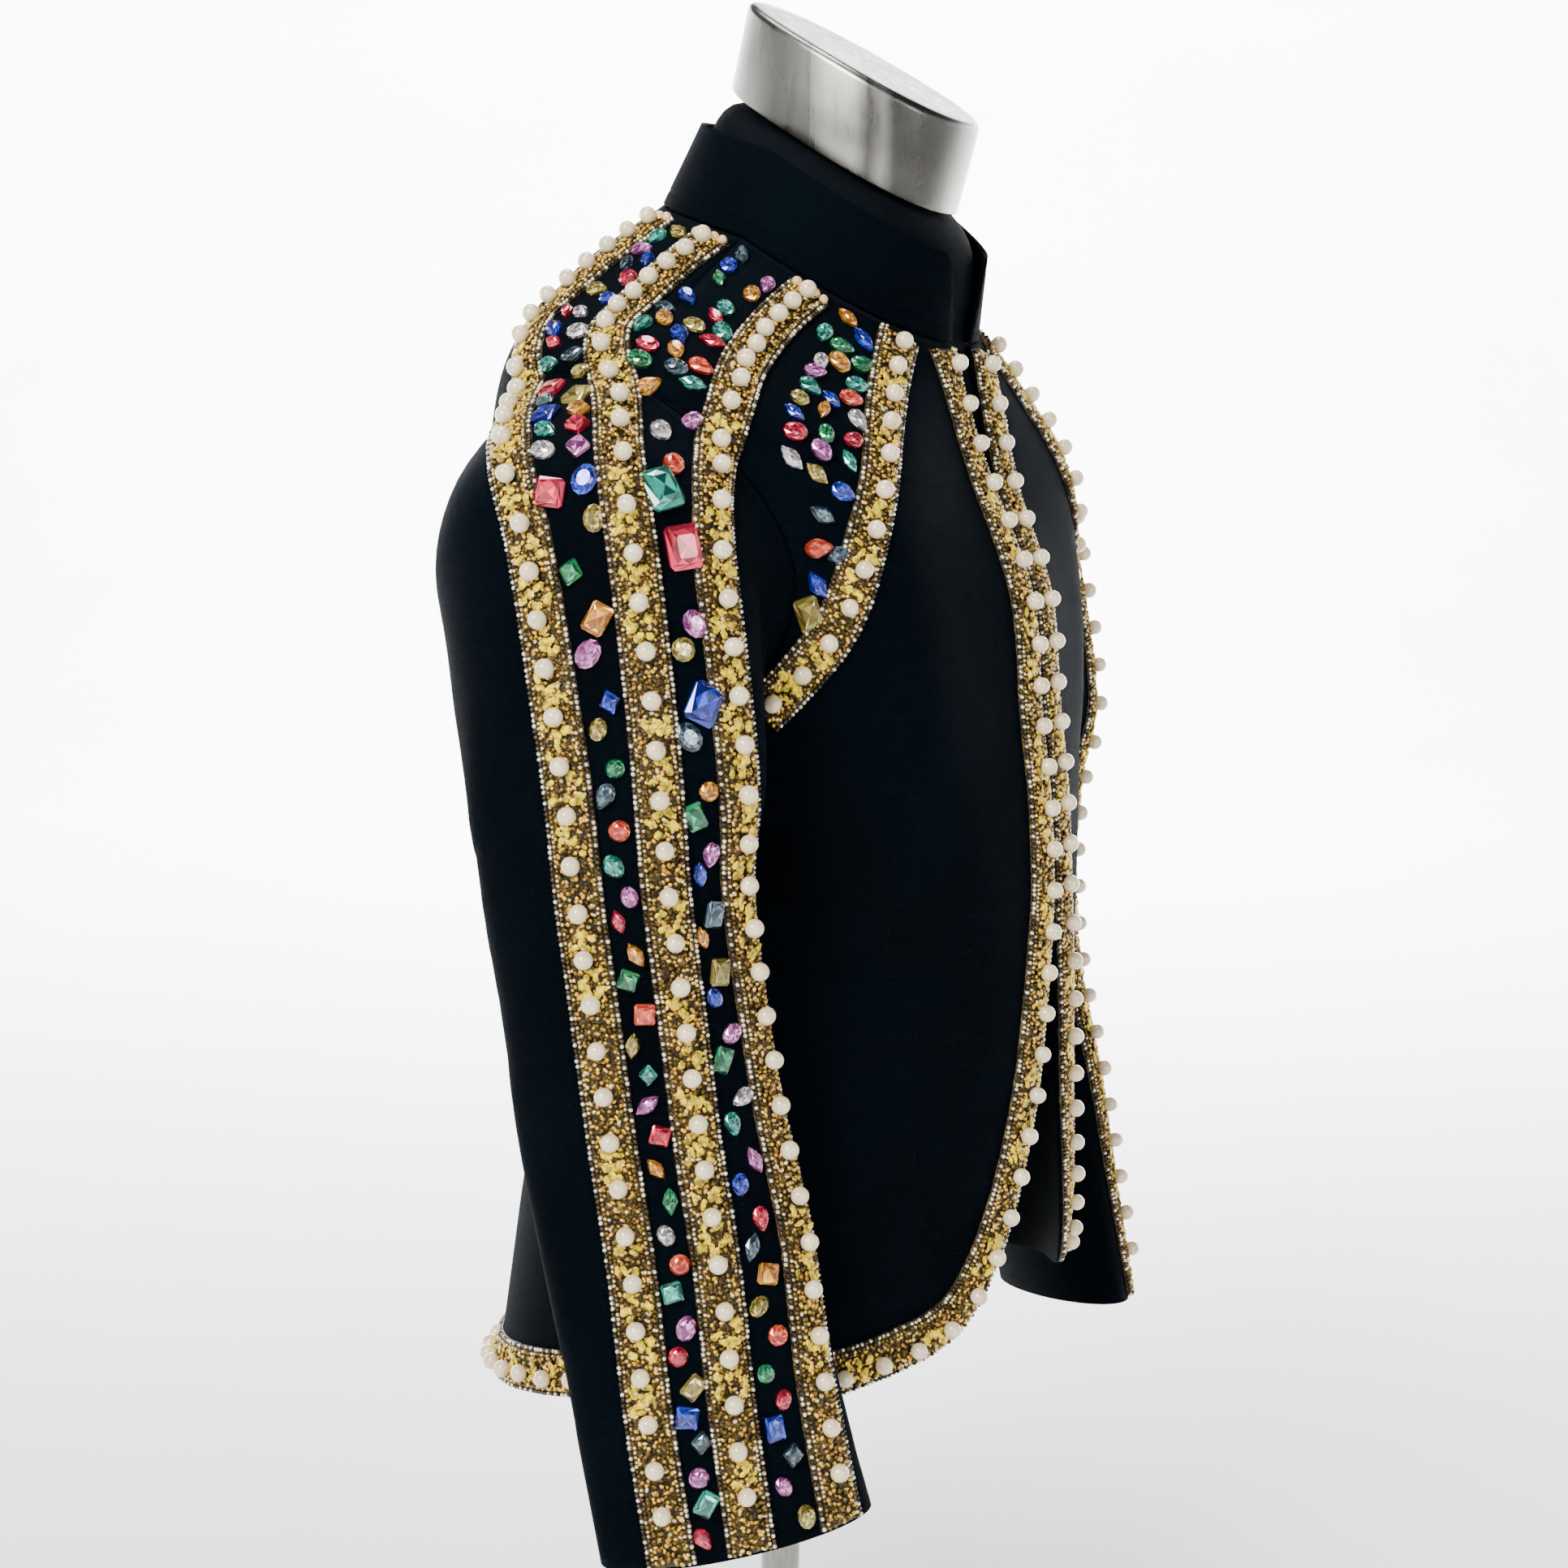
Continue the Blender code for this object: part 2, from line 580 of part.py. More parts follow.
def band_piece(points, tree, shift=0.0):
    """A beaded band along a path: a padded strip whose outer side swells over each pearl."""
    path = settled_path(points, tree)
    cells = max(int(round(path_length(path)[-1] / PEARL_PITCH)), 2)
    stations = even_path(path, 2 * cells)
    ahead, out, across = path_frames(stations, tree)
    inner, outward = [], []
    for k in range(0, 2 * cells + 1, 2):
        for share in (-1, 0, 1):
            place = nearest(tree, stations[k] + across[k] * BAND_HALF_WIDTH * share)[0]
            inner.append(place + out[k] * BAND_LIFT)
            outward.append(out[k])
    inner = eased_off(np.array(inner), np.array(outward), tree)
    outer = inner + np.array(outward) * BAND_THICKNESS
    points = [*inner, *outer]
    faces = []
    for k in range(cells):
        low, high = 3 * k, 3 * k + 3
        for j in (0, 1):
            a, b, c, d = low + j, low + j + 1, high + j + 1, high + j
            faces += [(c, b, a), (d, c, a)]
        first = len(points)
        direction = out[2 * k + 1]
        middle = (outer[low + 1] + outer[high + 1]) / 2 + across[2 * k + 1] * shift
        for n in range(RING_SIDES):
            angle = 2 * math.pi * n / RING_SIDES + math.pi / 6
            spoke = ahead[2 * k + 1] * math.cos(angle) + across[2 * k + 1] * math.sin(angle)
            points.append(middle + spoke * PEARL_RADIUS * 1.08)
        points.append(middle + direction * PEARL_RISE)
        shell = 3 * (cells + 1)
        corner = {"A": shell + low, "B": shell + low + 2, "C": shell + high + 2, "D": shell + high}
        for triangle in CELL_TRIANGLES:
            faces.append(tuple(corner[v] if v in corner else first + v for v in triangle))
        for n in range(RING_SIDES):
            faces.append((first + (n + 1) % RING_SIDES, first + n, first + RING_SIDES))
        for side in (0, 2):
            faces += side_wall(low + side, high + side, shell, side == 0)
    last = 3 * cells
    for row, turned in ((0, False), (last, True)):
        end = [(row, row + 1, row + shell), (row + 1, row + 2, row + 2 + shell), (row + 1, row + 2 + shell, row + shell)]
        faces += [tuple(reversed(f)) for f in end] if turned else end
    used = sorted({v for f in faces for v in f})
    renumbered = {v: k for k, v in enumerate(used)}
    faces = [tuple(renumbered[v] for v in f) for f in faces]
    return np.array(points)[used], faces


def side_wall(low, high, shell, turned):
    """Two triangles between a band's inner and outer edges."""
    wall = [(low, high, high + shell), (low, high + shell, low + shell)]
    return [tuple(reversed(f)) for f in wall] if turned else wall


def eased_off(inner, outward, tree):
    """Lifts a band's inner points until no part of its faces is too near the cloth."""
    cells = len(inner) // 3 - 1
    weights = []
    for u in SAMPLES:
        for v in SAMPLES:
            weights.append((1 - u, u - v, v, 0) if v <= u else (1 - v, 0, u, v - u))
    for _ in range(8):
        lift = np.zeros(len(inner))
        for k in range(cells):
            for j in (0, 1):
                corners = [3 * k + j, 3 * k + j + 1, 3 * k + j + 4, 3 * k + j + 3]
                way = outward[corners].sum(axis=0)
                for sample in np.array(weights) @ inner[corners]:
                    step = sample - nearest(tree, sample)[0]
                    room = math.copysign(float(np.linalg.norm(step)), float(np.dot(step, way)))
                    short = BAND_NEAREST - room
                    if short > 1e-5:
                        lift[corners] = np.maximum(lift[corners], short)
        if not lift.any():
            break
        inner = inner + outward * lift[:, None]
    return inner


# Looks: colour, roughness and metal share
CLOTH_LOOK = ((0.010, 0.014, 0.022), 0.85)
COVER_LOOK = ((0.008, 0.009, 0.011), 0.90)
STEEL_LOOK = ((0.60, 0.60, 0.58), 0.32, 1.0)
BAND_LOOK = ((0.55, 0.42, 0.20), 0.40)


def main():
    for old in list(bpy.data.objects):
        bpy.data.objects.remove(old, do_unlink=True)

    front, sleeve, back = front_panel(), sleeve_piece(), back_panel()
    collar = cloth_shell(collar_grid(), collar_grid(COLLAR_CLOTH))
    body_tree = surface_tree([front, back, mirrored(*front)])
    arm_tree = surface_tree([front, back, sleeve])

    pairs = {"front": (front, CLOTH_LOOK), "sleeve": (sleeve, CLOTH_LOOK)}
    pairs["edge_band"] = (band_piece(edge_path(), body_tree, -PEARL_SHIFT), BAND_LOOK)
    chest = through(CHEST_PATH, body_point)
    pairs["chest_band"] = (band_piece(chest, body_tree), BAND_LOOK)
    for name, (on_body, on_sleeve) in SHOULDER_PATHS.items():
        path = np.concatenate([through(on_body, body_point), through(on_sleeve, sleeve_point)])
        pairs[name + "_band"] = (band_piece(path, arm_tree), BAND_LOOK)
    for name, ((points, faces), look) in pairs.items():
        faces = turned_outward(points, faces)
        add_solid(name + "_right", points, faces, look)
        add_solid(name + "_left", *mirrored(points, faces), look)

    hem_points, hem_faces = band_piece(hem_path(), body_tree, -PEARL_SHIFT)
    add_solid("back", *back, CLOTH_LOOK)
    add_solid("collar", *collar, CLOTH_LOOK)
    add_solid("hem_band", hem_points, turned_outward(hem_points, hem_faces), BAND_LOOK)

    add_solid("form_torso", *closed_stack(form_rings()), COVER_LOOK)
    add_solid("form_cap", *closed_stack(cap_rings()), STEEL_LOOK)
    add_solid("form_pole", *closed_stack(turned_profile(POLE_PROFILE, POLE_SIDES)), STEEL_LOOK)
    add_solid("form_base", *closed_stack(turned_profile(BASE_PROFILE, BASE_SIDES)), STEEL_LOOK)


if __name__ == "__main__":
    main()
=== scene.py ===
"""Looks of a black stand-collar jacket with beaded bands and stones, on a limbless dress form.

Metres, +Z up. The jacket faces -Y and +X is the wearer's left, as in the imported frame.
"""

import math

import bmesh
import bpy
import numpy as np
from bpy.props import FloatProperty, FloatVectorProperty, IntProperty, PointerProperty
from mathutils import Matrix, Vector
from mathutils.bvhtree import BVHTree


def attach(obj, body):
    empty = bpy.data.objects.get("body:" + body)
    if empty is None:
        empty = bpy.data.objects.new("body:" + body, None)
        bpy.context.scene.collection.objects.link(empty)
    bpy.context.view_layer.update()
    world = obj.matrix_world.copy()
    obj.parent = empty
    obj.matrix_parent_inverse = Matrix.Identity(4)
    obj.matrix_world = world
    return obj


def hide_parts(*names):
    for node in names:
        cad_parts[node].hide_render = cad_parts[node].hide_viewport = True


bl_info = {
    "name": "Beaded jacket looks",
    "version": (1, 0, 0),
    "blender": (4, 5, 0),
    "location": "View3D > Sidebar > Jacket",
    "description": "Dresses the packed jacket and its dress form with cloth, beading, stones and metal",
    "category": "Object",
}

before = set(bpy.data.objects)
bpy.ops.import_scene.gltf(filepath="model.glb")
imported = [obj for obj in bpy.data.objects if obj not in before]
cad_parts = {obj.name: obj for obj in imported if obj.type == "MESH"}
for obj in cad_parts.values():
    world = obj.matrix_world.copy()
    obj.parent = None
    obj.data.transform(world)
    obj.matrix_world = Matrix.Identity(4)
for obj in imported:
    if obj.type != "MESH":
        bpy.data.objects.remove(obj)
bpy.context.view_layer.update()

# The garment's cut, in the same values as its solids
HEM_HEIGHT = 0.250
STAND_Y = 0.022
SEAM_GAP = 0.0004
SQUARENESS = 0.86
# Columns: front y and z, side x, y and z, back y and z
BODY_ROWS = {
    "hem": (-0.126, 0.008, 0.170, 0.022, 0.000, 0.170, -0.032),
    "hip": (-0.132, 0.080, 0.163, 0.020, 0.072, 0.158, 0.060),
    "waist": (-0.132, 0.200, 0.156, 0.018, 0.200, 0.140, 0.190),
    "ribs": (-0.128, 0.290, 0.166, 0.020, 0.290, 0.154, 0.290),
    "underarm": (-0.119, 0.350, 0.172, 0.022, 0.350, 0.168, 0.360),
    "chest": (-0.109, 0.410, 0.182, 0.022, 0.430, 0.172, 0.440),
    "shoulder_point": (-0.098, 0.465, 0.188, 0.020, 0.520, 0.156, 0.525),
    "shoulder_slope": (-0.087, 0.505, 0.135, 0.018, 0.558, 0.132, 0.578),
    "neckline": (-0.073, 0.539, 0.079, 0.016, 0.591, 0.092, 0.614),
}
NECKLINE_LEVEL = 8.0
# Columns: relief in mm at the middle and over the bust
RELIEF_ROWS = {
    "hem": (0.0, -4.0),
    "hip": (1.0, -7.0),
    "waist": (3.0, -8.0),
    "ribs": (3.4, -3.0),
    "underarm": (4.5, 8.0),
    "chest": (7.5, 10.0),
    "shoulder_point": (-4.0, 4.0),
    "shoulder_slope": (-6.0, 0.0),
    "neckline": (0.0, 0.0),
}
MIDDLE_REACH_TURN = 16.0
BUST_TURN = 34.0
BUST_REACH_TURN = 15.0
ARMHOLE_LEVEL = 5.0
ARMHOLE_REACH = 1.0
ARMHOLE_FRONT_TURN = 34.0
ARMHOLE_BACK_TURN = 42.0
ARMHOLE_LEAN = 5.0
EDGE_TURN = 0.15
EDGE_LEVELS = (0.00, 0.07, 0.14, 0.22, 0.38, 0.65, 0.95, 1.30, 1.65, 2.10, 2.60)
EDGE_TURNS = (62.0, 46.0, 34.0, 26.0, 19.5, 15.0, 11.0, 6.7, 3.4, 1.5, 0.0)
NECK_LEVELS = (5.50, 6.00, 6.50, 7.00, 7.50, 8.00)
NECK_TURNS = (0.0, 0.45, 1.2, 2.4, 3.9, 5.8)
COLLAR_ROWS = {
    "base": (-0.0732, 0.5403, 0.0792, 0.016, 0.5923, 0.0922, 0.6153),
    "top": (-0.0790, 0.5835, 0.0690, 0.007, 0.6370, 0.0710, 0.6560),
}
COLLAR_ENDS = ((0.011, 0.0792), (0.020, 0.0690))
COLLAR_CORNER_TURN = 4.2
COLLAR_CORNER_FROM = 0.8
COLLAR_SEAM = 0.155
COLLAR_GROOVE = 0.0005
# Columns: x, y, z, broad and thin half widths, turn, pitch, rise, and the share kept inside
SLEEVE_ROWS = {
    "crown": (-0.2056, 0.0210, 0.408, 0.0790, 0.0520, 20.0, 0.00, 0.058, 0.38),
    "biceps": (-0.2232, -0.0007, 0.335, 0.0712, 0.0432, 24.0, 0.00, 0.004, 1.00),
    "arm": (-0.2232, -0.0005, 0.285, 0.0650, 0.0421, 28.0, 0.00, 0.000, 1.00),
    "elbow": (-0.2183, -0.0042, 0.235, 0.0634, 0.0381, 31.0, 0.02, 0.000, 1.00),
    "forearm_high": (-0.2150, -0.0145, 0.170, 0.0632, 0.0340, 34.0, 0.06, 0.000, 1.00),
    "forearm": (-0.2145, -0.0315, 0.105, 0.0642, 0.0324, 37.0, 0.10, 0.000, 1.00),
    "forearm_low": (-0.2145, -0.0467, 0.035, 0.0640, 0.0300, 39.0, 0.14, 0.000, 1.00),
    "cuff": (-0.2100, -0.0642, -0.038, 0.0670, 0.0275, 40.0, 0.16, 0.000, 1.00),
}
UNDERARM_PUSH = (-0.008, 0.0, -0.004)
CAP_LEAVING = 1.15
CROWN_STEP = 0.35
CAP_ROWS = {
    "bottom": (-0.0620, 0.606, 0.052, -0.0010, 0.6415, 0.0580, 0.675),
    "top": (-0.0745, 0.652, 0.052, -0.0134, 0.6865, 0.0480, 0.720),
}

# Grids of the cloth: armhole steps are shared by the body and the sleeves.
ARMHOLE_STEPS = 36
FRONT_COLUMNS = 49
BACK_COLUMNS = 85
SLEEVE_CAP_ROWS = 18
SLEEVE_ROWS_EACH = 12
COLLAR_COLUMNS = 121

# Creases: the surface, three stations on it, height (below 0 for a trough) and half width in mm.
CREASES = (
    ("body", (-128, 4.95), (-138, 4.30), (-150, 3.50), 4.0, 13),
    ("body", (-134, 5.30), (-146, 4.70), (-160, 4.05), -1.6, 9),
    ("body", (-122, 4.30), (-126, 3.50), (-124, 2.70), 2.6, 11),
    ("body", (-110, 3.80), (-122, 3.10), (-140, 2.50), -1.8, 10),
    ("body", (-100, 2.90), (-98, 2.10), (-102, 1.20), 1.8, 12),
    ("body", (-140, 2.20), (-158, 1.95), (-176, 2.05), -1.6, 9),
    ("body", (-150, 1.50), (-164, 1.20), (-172, 0.60), 1.5, 14),
    ("body", (-60, 3.90), (-57, 3.10), (-60, 2.40), 1.3, 11),
    ("body", (-24, 3.60), (-20, 2.80), (-16, 2.00), 1.2, 14),
    ("body", (-70, 2.00), (-62, 1.40), (-58, 0.60), -1.0, 12),
    ("sleeve", (86, -0.30), (100, 0.50), (112, 1.40), -3.0, 8),
    ("sleeve", (100, -0.10), (118, 0.80), (128, 1.80), 2.0, 7),
    ("sleeve", (250, -0.35), (262, 0.60), (280, 1.80), 3.4, 14),
    ("sleeve", (228, 0.10), (246, 1.10), (268, 2.30), -2.4, 10),
    ("sleeve", (300, 0.60), (286, 1.80), (292, 3.10), 1.8, 13),
    ("sleeve", (150, 1.40), (120, 2.30), (96, 2.60), -2.2, 8),
    ("sleeve", (206, 1.90), (236, 2.60), (272, 2.70), 2.4, 9),
    ("sleeve", (196, 2.70), (226, 3.20), (262, 3.20), -2.2, 8),
    ("sleeve", (166, 2.60), (134, 3.20), (104, 3.30), 1.8, 9),
    ("sleeve", (276, 3.60), (268, 4.60), (280, 5.60), 2.0, 12),
    ("sleeve", (118, 3.90), (112, 4.80), (104, 5.80), -1.4, 10),
    ("sleeve", (214, 4.60), (228, 5.40), (252, 6.20), -1.6, 11),
    ("sleeve", (84, 5.20), (88, 5.90), (84, 6.60), 1.0, 9),
)

# Sewn lines on each front, as two stations of turn and level
SEAM_LINE_HALF_WIDTH = 0.0007
SEAM_LINES = (
    ((-38.0, 3.85), (-42.5, 2.30)),
    ((-58.0, 2.25), (-30.0, 2.22)),
    ((-34.0, 2.20), (-34.0, 1.35)),
)

# Beaded bands, in the same values as their solids
BAND_HALF_WIDTH = 0.0120
BAND_FOOT = 0.0003
BAND_UNEVEN = 0.00022
BAND_TAPER = 0.002
FILLING_REACH = 0.0072
END_MARGIN = 0.0015
FOIL_REACH = 0.0068

# The borders' places from a band's middle, the fine beads beside the chain, and how they wander
CHAIN_PLACE = 0.0110
FINE_PLACE = 0.0086
FINE_BEAD = 0.0022
BORDER_WANDER = 0.00012

# Shares of a pearl's size: how high its middle stands, and how near filling and foil come to it
PEARL_SEAT = 0.78
PEARL_WANDER = 0.0004
FILLING_NEAR = 0.36
FOIL_NEAR = 0.48

# Gold pearls across a band's end at the neck: place from the band's middle, and radius
END_PEARLS = ((-0.0086, 0.0026), (-0.0032, 0.0030), (0.0024, 0.0027), (0.0078, 0.0029))
END_PEARL_STATION = 0.0016
END_PEARL_HEIGHT = 0.0031

BAND_SETBACK = 0.0125
PATH_STEP = 0.0024
PEARL_SHIFT = 0.0025
CHEST_PATH = (
    (-34, 7.88), (-35, 7.40), (-35, 6.90), (-35, 6.00), (-41, 5.45), (-48, 4.82), (-55, 4.50), (-66, 4.12),
)
SHOULDER_PATHS = {
    "rear": (
        ((-127, 7.86), (-124, 7.50), (-123, 6.95), (-124, 6.40)),
        ((330, -0.80), (334, -0.45), (341, 0.10), (344, 0.75), (346, 1.40), (346, 2.35), (344, 3.40),
         (340, 4.35), (336, 5.15), (332, 5.90), (328, 6.98)),
    ),
    "middle": (
        ((-97, 7.86), (-98, 7.45), (-98, 7.05), (-98, 6.40)),
        ((2, -0.80), (10, -0.40), (16, -0.05), (18, 0.40), (20, 1.20), (23, 2.25), (21, 3.50),
         (16, 4.40), (12, 5.20), (8, 5.95), (2, 6.98)),
    ),
    "front": (
        ((-67, 7.86), (-70, 7.40), (-71, 7.00), (-71, 6.60)),
        ((44, -0.40), (49, 0.00), (53, 0.45), (58, 1.20), (65, 2.15), (67, 3.50), (64, 4.45),
         (59, 5.30), (53, 6.10), (46, 6.98)),
    ),
}
YOKE_PATH = ((-60, 7.80), (-61, 7.30), (-60, 6.75), (-59, 6.25), (-56, 5.90), (-53, 5.60), (-52, 5.00))

# Pearls of each band, in mm: pitch down the band, pitch and length of its part beside the neck;
# and the share of the gaps between pearls that hold foil
BAND_PEARLS = {
    "edge": (21.5, 21.5, 0, 0.55),
    "chest": (19.5, 19.5, 0, 0.90),
    "hem": (20.5, 20.5, 0, 0.45),
    "rear": (22.6, 15.0, 105, 0.95),
    "middle": (22.6, 15.0, 105, 0.95),
    "front": (22.6, 14.5, 110, 0.95),
}

# Stones: outline, length and width in mm, and how often it is drawn. They are small and close beside
# the neck, large on the upper sleeve and small again below it.
STONES = (
    ("oval", 12.8, 9.8, 24),
    ("round", 11.2, 11.2, 16),
    ("marquise", 14.8, 8.2, 13),
    ("square", 11.6, 11.6, 15),
    ("kite", 13.6, 11.6, 12),
    ("rectangle", 14.8, 10.8, 9),
    ("pear", 13.6, 9.4, 8),
    ("large_square", 19.0, 15.5, 5),
)

# Places down a band where the stones grow large and then small again, the room in which a stone
# has its full size, and the room that a large square needs. Large ones grow by a factor, and two
# stones stand at least a share of their mean sizes apart.
STONE_NECK_LENGTH = 0.130
STONE_LARGE_LENGTH = 0.330
STONE_GROWTH = 1.25
STONE_CLEARANCE = 0.90
STONE_FULL_ROOM = 0.0150
STONE_SQUARE_ROOM = 0.018

# Foil is laid thick down to this place along a band, and in fewer gaps below it
FOIL_LENGTH = 0.380

# Stone colours: a deep and a light colour, between which each facet is painted darker or brighter as a
# painted reflection, and how often each is drawn
STONE_COLOURS = {
    "ruby": ((0.150, 0.001, 0.010), (0.900, 0.030, 0.100), 14),
    "coral": ((0.280, 0.012, 0.006), (1.000, 0.170, 0.080), 8),
    "amber": ((0.220, 0.060, 0.003), (1.000, 0.500, 0.060), 10),
    "olive": ((0.090, 0.065, 0.006), (0.660, 0.540, 0.120), 8),
    "teal": ((0.001, 0.055, 0.046), (0.060, 0.600, 0.460), 18),
    "emerald": ((0.001, 0.045, 0.014), (0.030, 0.440, 0.180), 6),
    "sapphire": ((0.001, 0.002, 0.090), (0.025, 0.080, 0.780), 15),
    "lilac": ((0.130, 0.016, 0.100), (0.860, 0.300, 0.740), 12),
    "clear": ((0.120, 0.110, 0.120), (1.000, 0.960, 0.940), 5),
    "slate": ((0.005, 0.012, 0.020), (0.110, 0.190, 0.250), 4),
}

# The metal cap's centre, and the radius of its rounded edge
CAP_CENTRE = (0.0, -0.030, 0.0)
CAP_EDGE = 0.004

# Painted reflections around the metal cap: bright and dim bands, as places once round it and shares of the
# metal's colour
CAP_PAINTED_REFLECTIONS = (
    (0.00, 0.72), (0.04, 1.60), (0.085, 1.35), (0.110, 0.34), (0.128, 0.95), (0.146, 0.26), (0.20, 0.32),
    (0.24, 0.60), (0.28, 1.20), (0.36, 0.50), (0.46, 0.34), (0.56, 1.10), (0.66, 0.30), (0.76, 0.90),
    (0.85, 0.38), (0.91, 0.80), (0.95, 0.55), (1.00, 0.72),
)

# Camera and stage
FLOOR_RADIUS = 4.5
FLOOR_CURVE = 1.6
CAMERA_AZIMUTH = 62.0942
CAMERA_HEIGHT_ANGLE = 8.4858
CAMERA_ROLL = 0.9569
CAMERA_DISTANCE = 1.4794
CAMERA_LENS = 61.18
CAMERA_TARGET = (0.0, 0.006, 0.5482)


class JacketSizes(bpy.types.PropertyGroup):
    """Sizes that a user would change."""

    cloth: FloatProperty(
        name="Cloth", description="Thickness of the jacket's cloth", default=0.0016, unit="LENGTH"
    )
    collar_cloth: FloatProperty(
        name="Collar", description="Thickness of the stand collar", default=0.0024, unit="LENGTH"
    )
    crease: FloatProperty(
        name="Creases", description="How strong the creases are, 1 as shown", default=1.0, subtype="FACTOR"
    )
    pearl: FloatProperty(name="Pearl", description="Diameter of a large pearl", default=0.0093, unit="LENGTH")
    pearl_spacing: FloatProperty(
        name="Pearl spacing",
        description="Distance between large pearls, 1 as shown",
        default=1.0,
        subtype="FACTOR",
    )
    chain_bead: FloatProperty(
        name="Chain bead", description="Diameter of a bead in a band's border", default=0.0026, unit="LENGTH"
    )
    seed_bead: FloatProperty(
        name="Seed bead",
        description="Spacing of the gold beads that fill a band",
        default=0.0027,
        unit="LENGTH",
    )
    stone_pitch: FloatProperty(
        name="Stone pitch", description="Distance between stones along a strip", default=0.0145, unit="LENGTH"
    )
    seed: IntProperty(name="Seed", description="Seed of every scatter of beads and stones", default=7)


class JacketColours(bpy.types.PropertyGroup):
    """Colours that a user would change."""

    cloth: FloatVectorProperty(
        name="Cloth", description="The jacket's cloth", subtype="COLOR", default=(0.0002, 0.0014, 0.0028)
    )
    gold: FloatVectorProperty(
        name="Gold", description="Gold beads and thread", subtype="COLOR", default=(0.68, 0.41, 0.062)
    )
    foil: FloatVectorProperty(
        name="Foil",
        description="Bright yellow foil between the pearls",
        subtype="COLOR",
        default=(1.0, 0.72, 0.002),
    )
    pearl: FloatVectorProperty(
        name="Pearl", description="Pearls", subtype="COLOR", default=(0.74, 0.62, 0.40)
    )
    cover: FloatVectorProperty(
        name="Cover", description="The form's cloth cover", subtype="COLOR", default=(0.0020, 0.0030, 0.0045)
    )
    steel: FloatVectorProperty(
        name="Steel", description="The form's cap and stand", subtype="COLOR", default=(0.27, 0.265, 0.245)
    )


# The garment's surfaces


def unit(vector):
    return vector / np.maximum(np.linalg.norm(vector, axis=-1, keepdims=True), 1e-12)


def hermite(start, start_slope, end, end_slope, t):
    """The cubic between two values with a slope at each."""
    return (
        start * (2 * t**3 - 3 * t**2 + 1)
        + start_slope * (t**3 - 2 * t**2 + t)
        + end * (3 * t**2 - 2 * t**3)
        + end_slope * (t**3 - t**2)
    )


def smooth_rows(rows, level):
    """A table's values at fractional levels, on a Catmull-Rom curve through its rows."""
    values = np.array(list(rows.values()), float)
    slope = np.gradient(values, axis=0)
    level = np.clip(np.asarray(level, float), 0.0, len(values) - 1.0)
    low = np.minimum(level.astype(int), len(values) - 2)
    t = (level - low)[..., None]
    return hermite(values[low], slope[low], values[low + 1], slope[low + 1], t)


def ring_point(rows, turn, level):
    """Points of a wrapped surface. Turn is 0 at the centre front, -90 at the wearer's right."""
    turn, level = np.broadcast_arrays(np.asarray(turn, float), np.asarray(level, float))
    columns = np.moveaxis(smooth_rows(rows, level), -1, 0)
    front_y, front_z, side_x, side_y, side_z, back_y, back_z = columns
    angle = np.radians(np.abs(turn))
    reach = np.abs(np.cos(angle))
    ahead = angle < math.pi / 2
    x = np.sign(turn) * side_x * np.abs(np.sin(angle)) ** SQUARENESS
    y = side_y + (np.where(ahead, front_y, back_y) - side_y) * reach**SQUARENESS
    z = side_z + (np.where(ahead, front_z, back_z) - side_z) * reach**SQUARENESS
    return np.stack([x, y - STAND_Y, z + HEM_HEIGHT], axis=-1)


def body_point(turn, level):
    """Points of the jacket's body: its rows, with the front's relief added."""
    points = ring_point(BODY_ROWS, turn, level)
    middle, bust = np.moveaxis(smooth_rows(RELIEF_ROWS, level), -1, 0)
    turn = np.abs(turn)
    forward = middle * np.exp(-((turn / MIDDLE_REACH_TURN) ** 2))
    forward = forward + bust * np.exp(-(((turn - BUST_TURN) / BUST_REACH_TURN) ** 2))
    points[..., 1] -= 0.001 * forward
    return points


def collar_point(turn, level):
    return ring_point(COLLAR_ROWS, turn, level)


def surface_normal(surface, across, along, step_across=0.5, step_along=0.02):
    """Unit normals of a surface of two parameters, by small differences."""
    du = surface(across + step_across, along) - surface(across - step_across, along)
    dv = surface(across, along + step_along) - surface(across, along - step_along)
    return unit(np.cross(du, dv))


def armhole_width(share, reach_turn):
    """Turn from the side to the armhole's edge, at a share of its height from -1 to 1."""
    share = np.clip(share, -1.0, 1.0)
    return (reach_turn + ARMHOLE_LEAN * share) * np.sqrt(np.maximum(1.0 - share**2, 0.0))


def armhole_point(around):
    """The right armhole's edge: around is 0 at the shoulder point, 90 in front, 180 below."""
    angle = np.radians(around)
    share = np.cos(angle)
    front = armhole_width(share, ARMHOLE_FRONT_TURN)
    back = -armhole_width(share, ARMHOLE_BACK_TURN)
    width = np.where(np.sin(angle) >= 0, front, back)
    return body_point(-90.0 + width, ARMHOLE_LEVEL + ARMHOLE_REACH * share)


def sleeve_ring(around, level):
    """Points of the right sleeve from the crown down: around is 0 outside, 90 in front."""
    columns = np.moveaxis(smooth_rows(SLEEVE_ROWS, level), -1, 0)
    x, y, z, broad, thin, turn, pitch, rise, inner = columns
    angle, turn = np.radians(around), np.radians(turn)
    deep = np.where(np.cos(angle) < 0, inner, 1.0) * thin
    ahead, aside = broad * np.sin(angle), deep * np.cos(angle)
    ring_x = x + ahead * np.sin(turn) - aside * np.cos(turn)
    ring_y = y - STAND_Y - ahead * np.cos(turn) - aside * np.sin(turn)
    ring_z = z + HEM_HEIGHT + pitch * ahead + rise * np.cos(angle)
    ring = np.stack([ring_x, ring_y, ring_z], axis=-1)
    under = np.clip(-1.3 * np.cos(angle), 0.0, 1.0) ** 0.7
    share = (under * np.clip(1.0 - np.asarray(level, float), 0.0, 1.0) ** 2)[..., None]
    return ring * (1 - share) + (armhole_point(around) + np.array(UNDERARM_PUSH)) * share


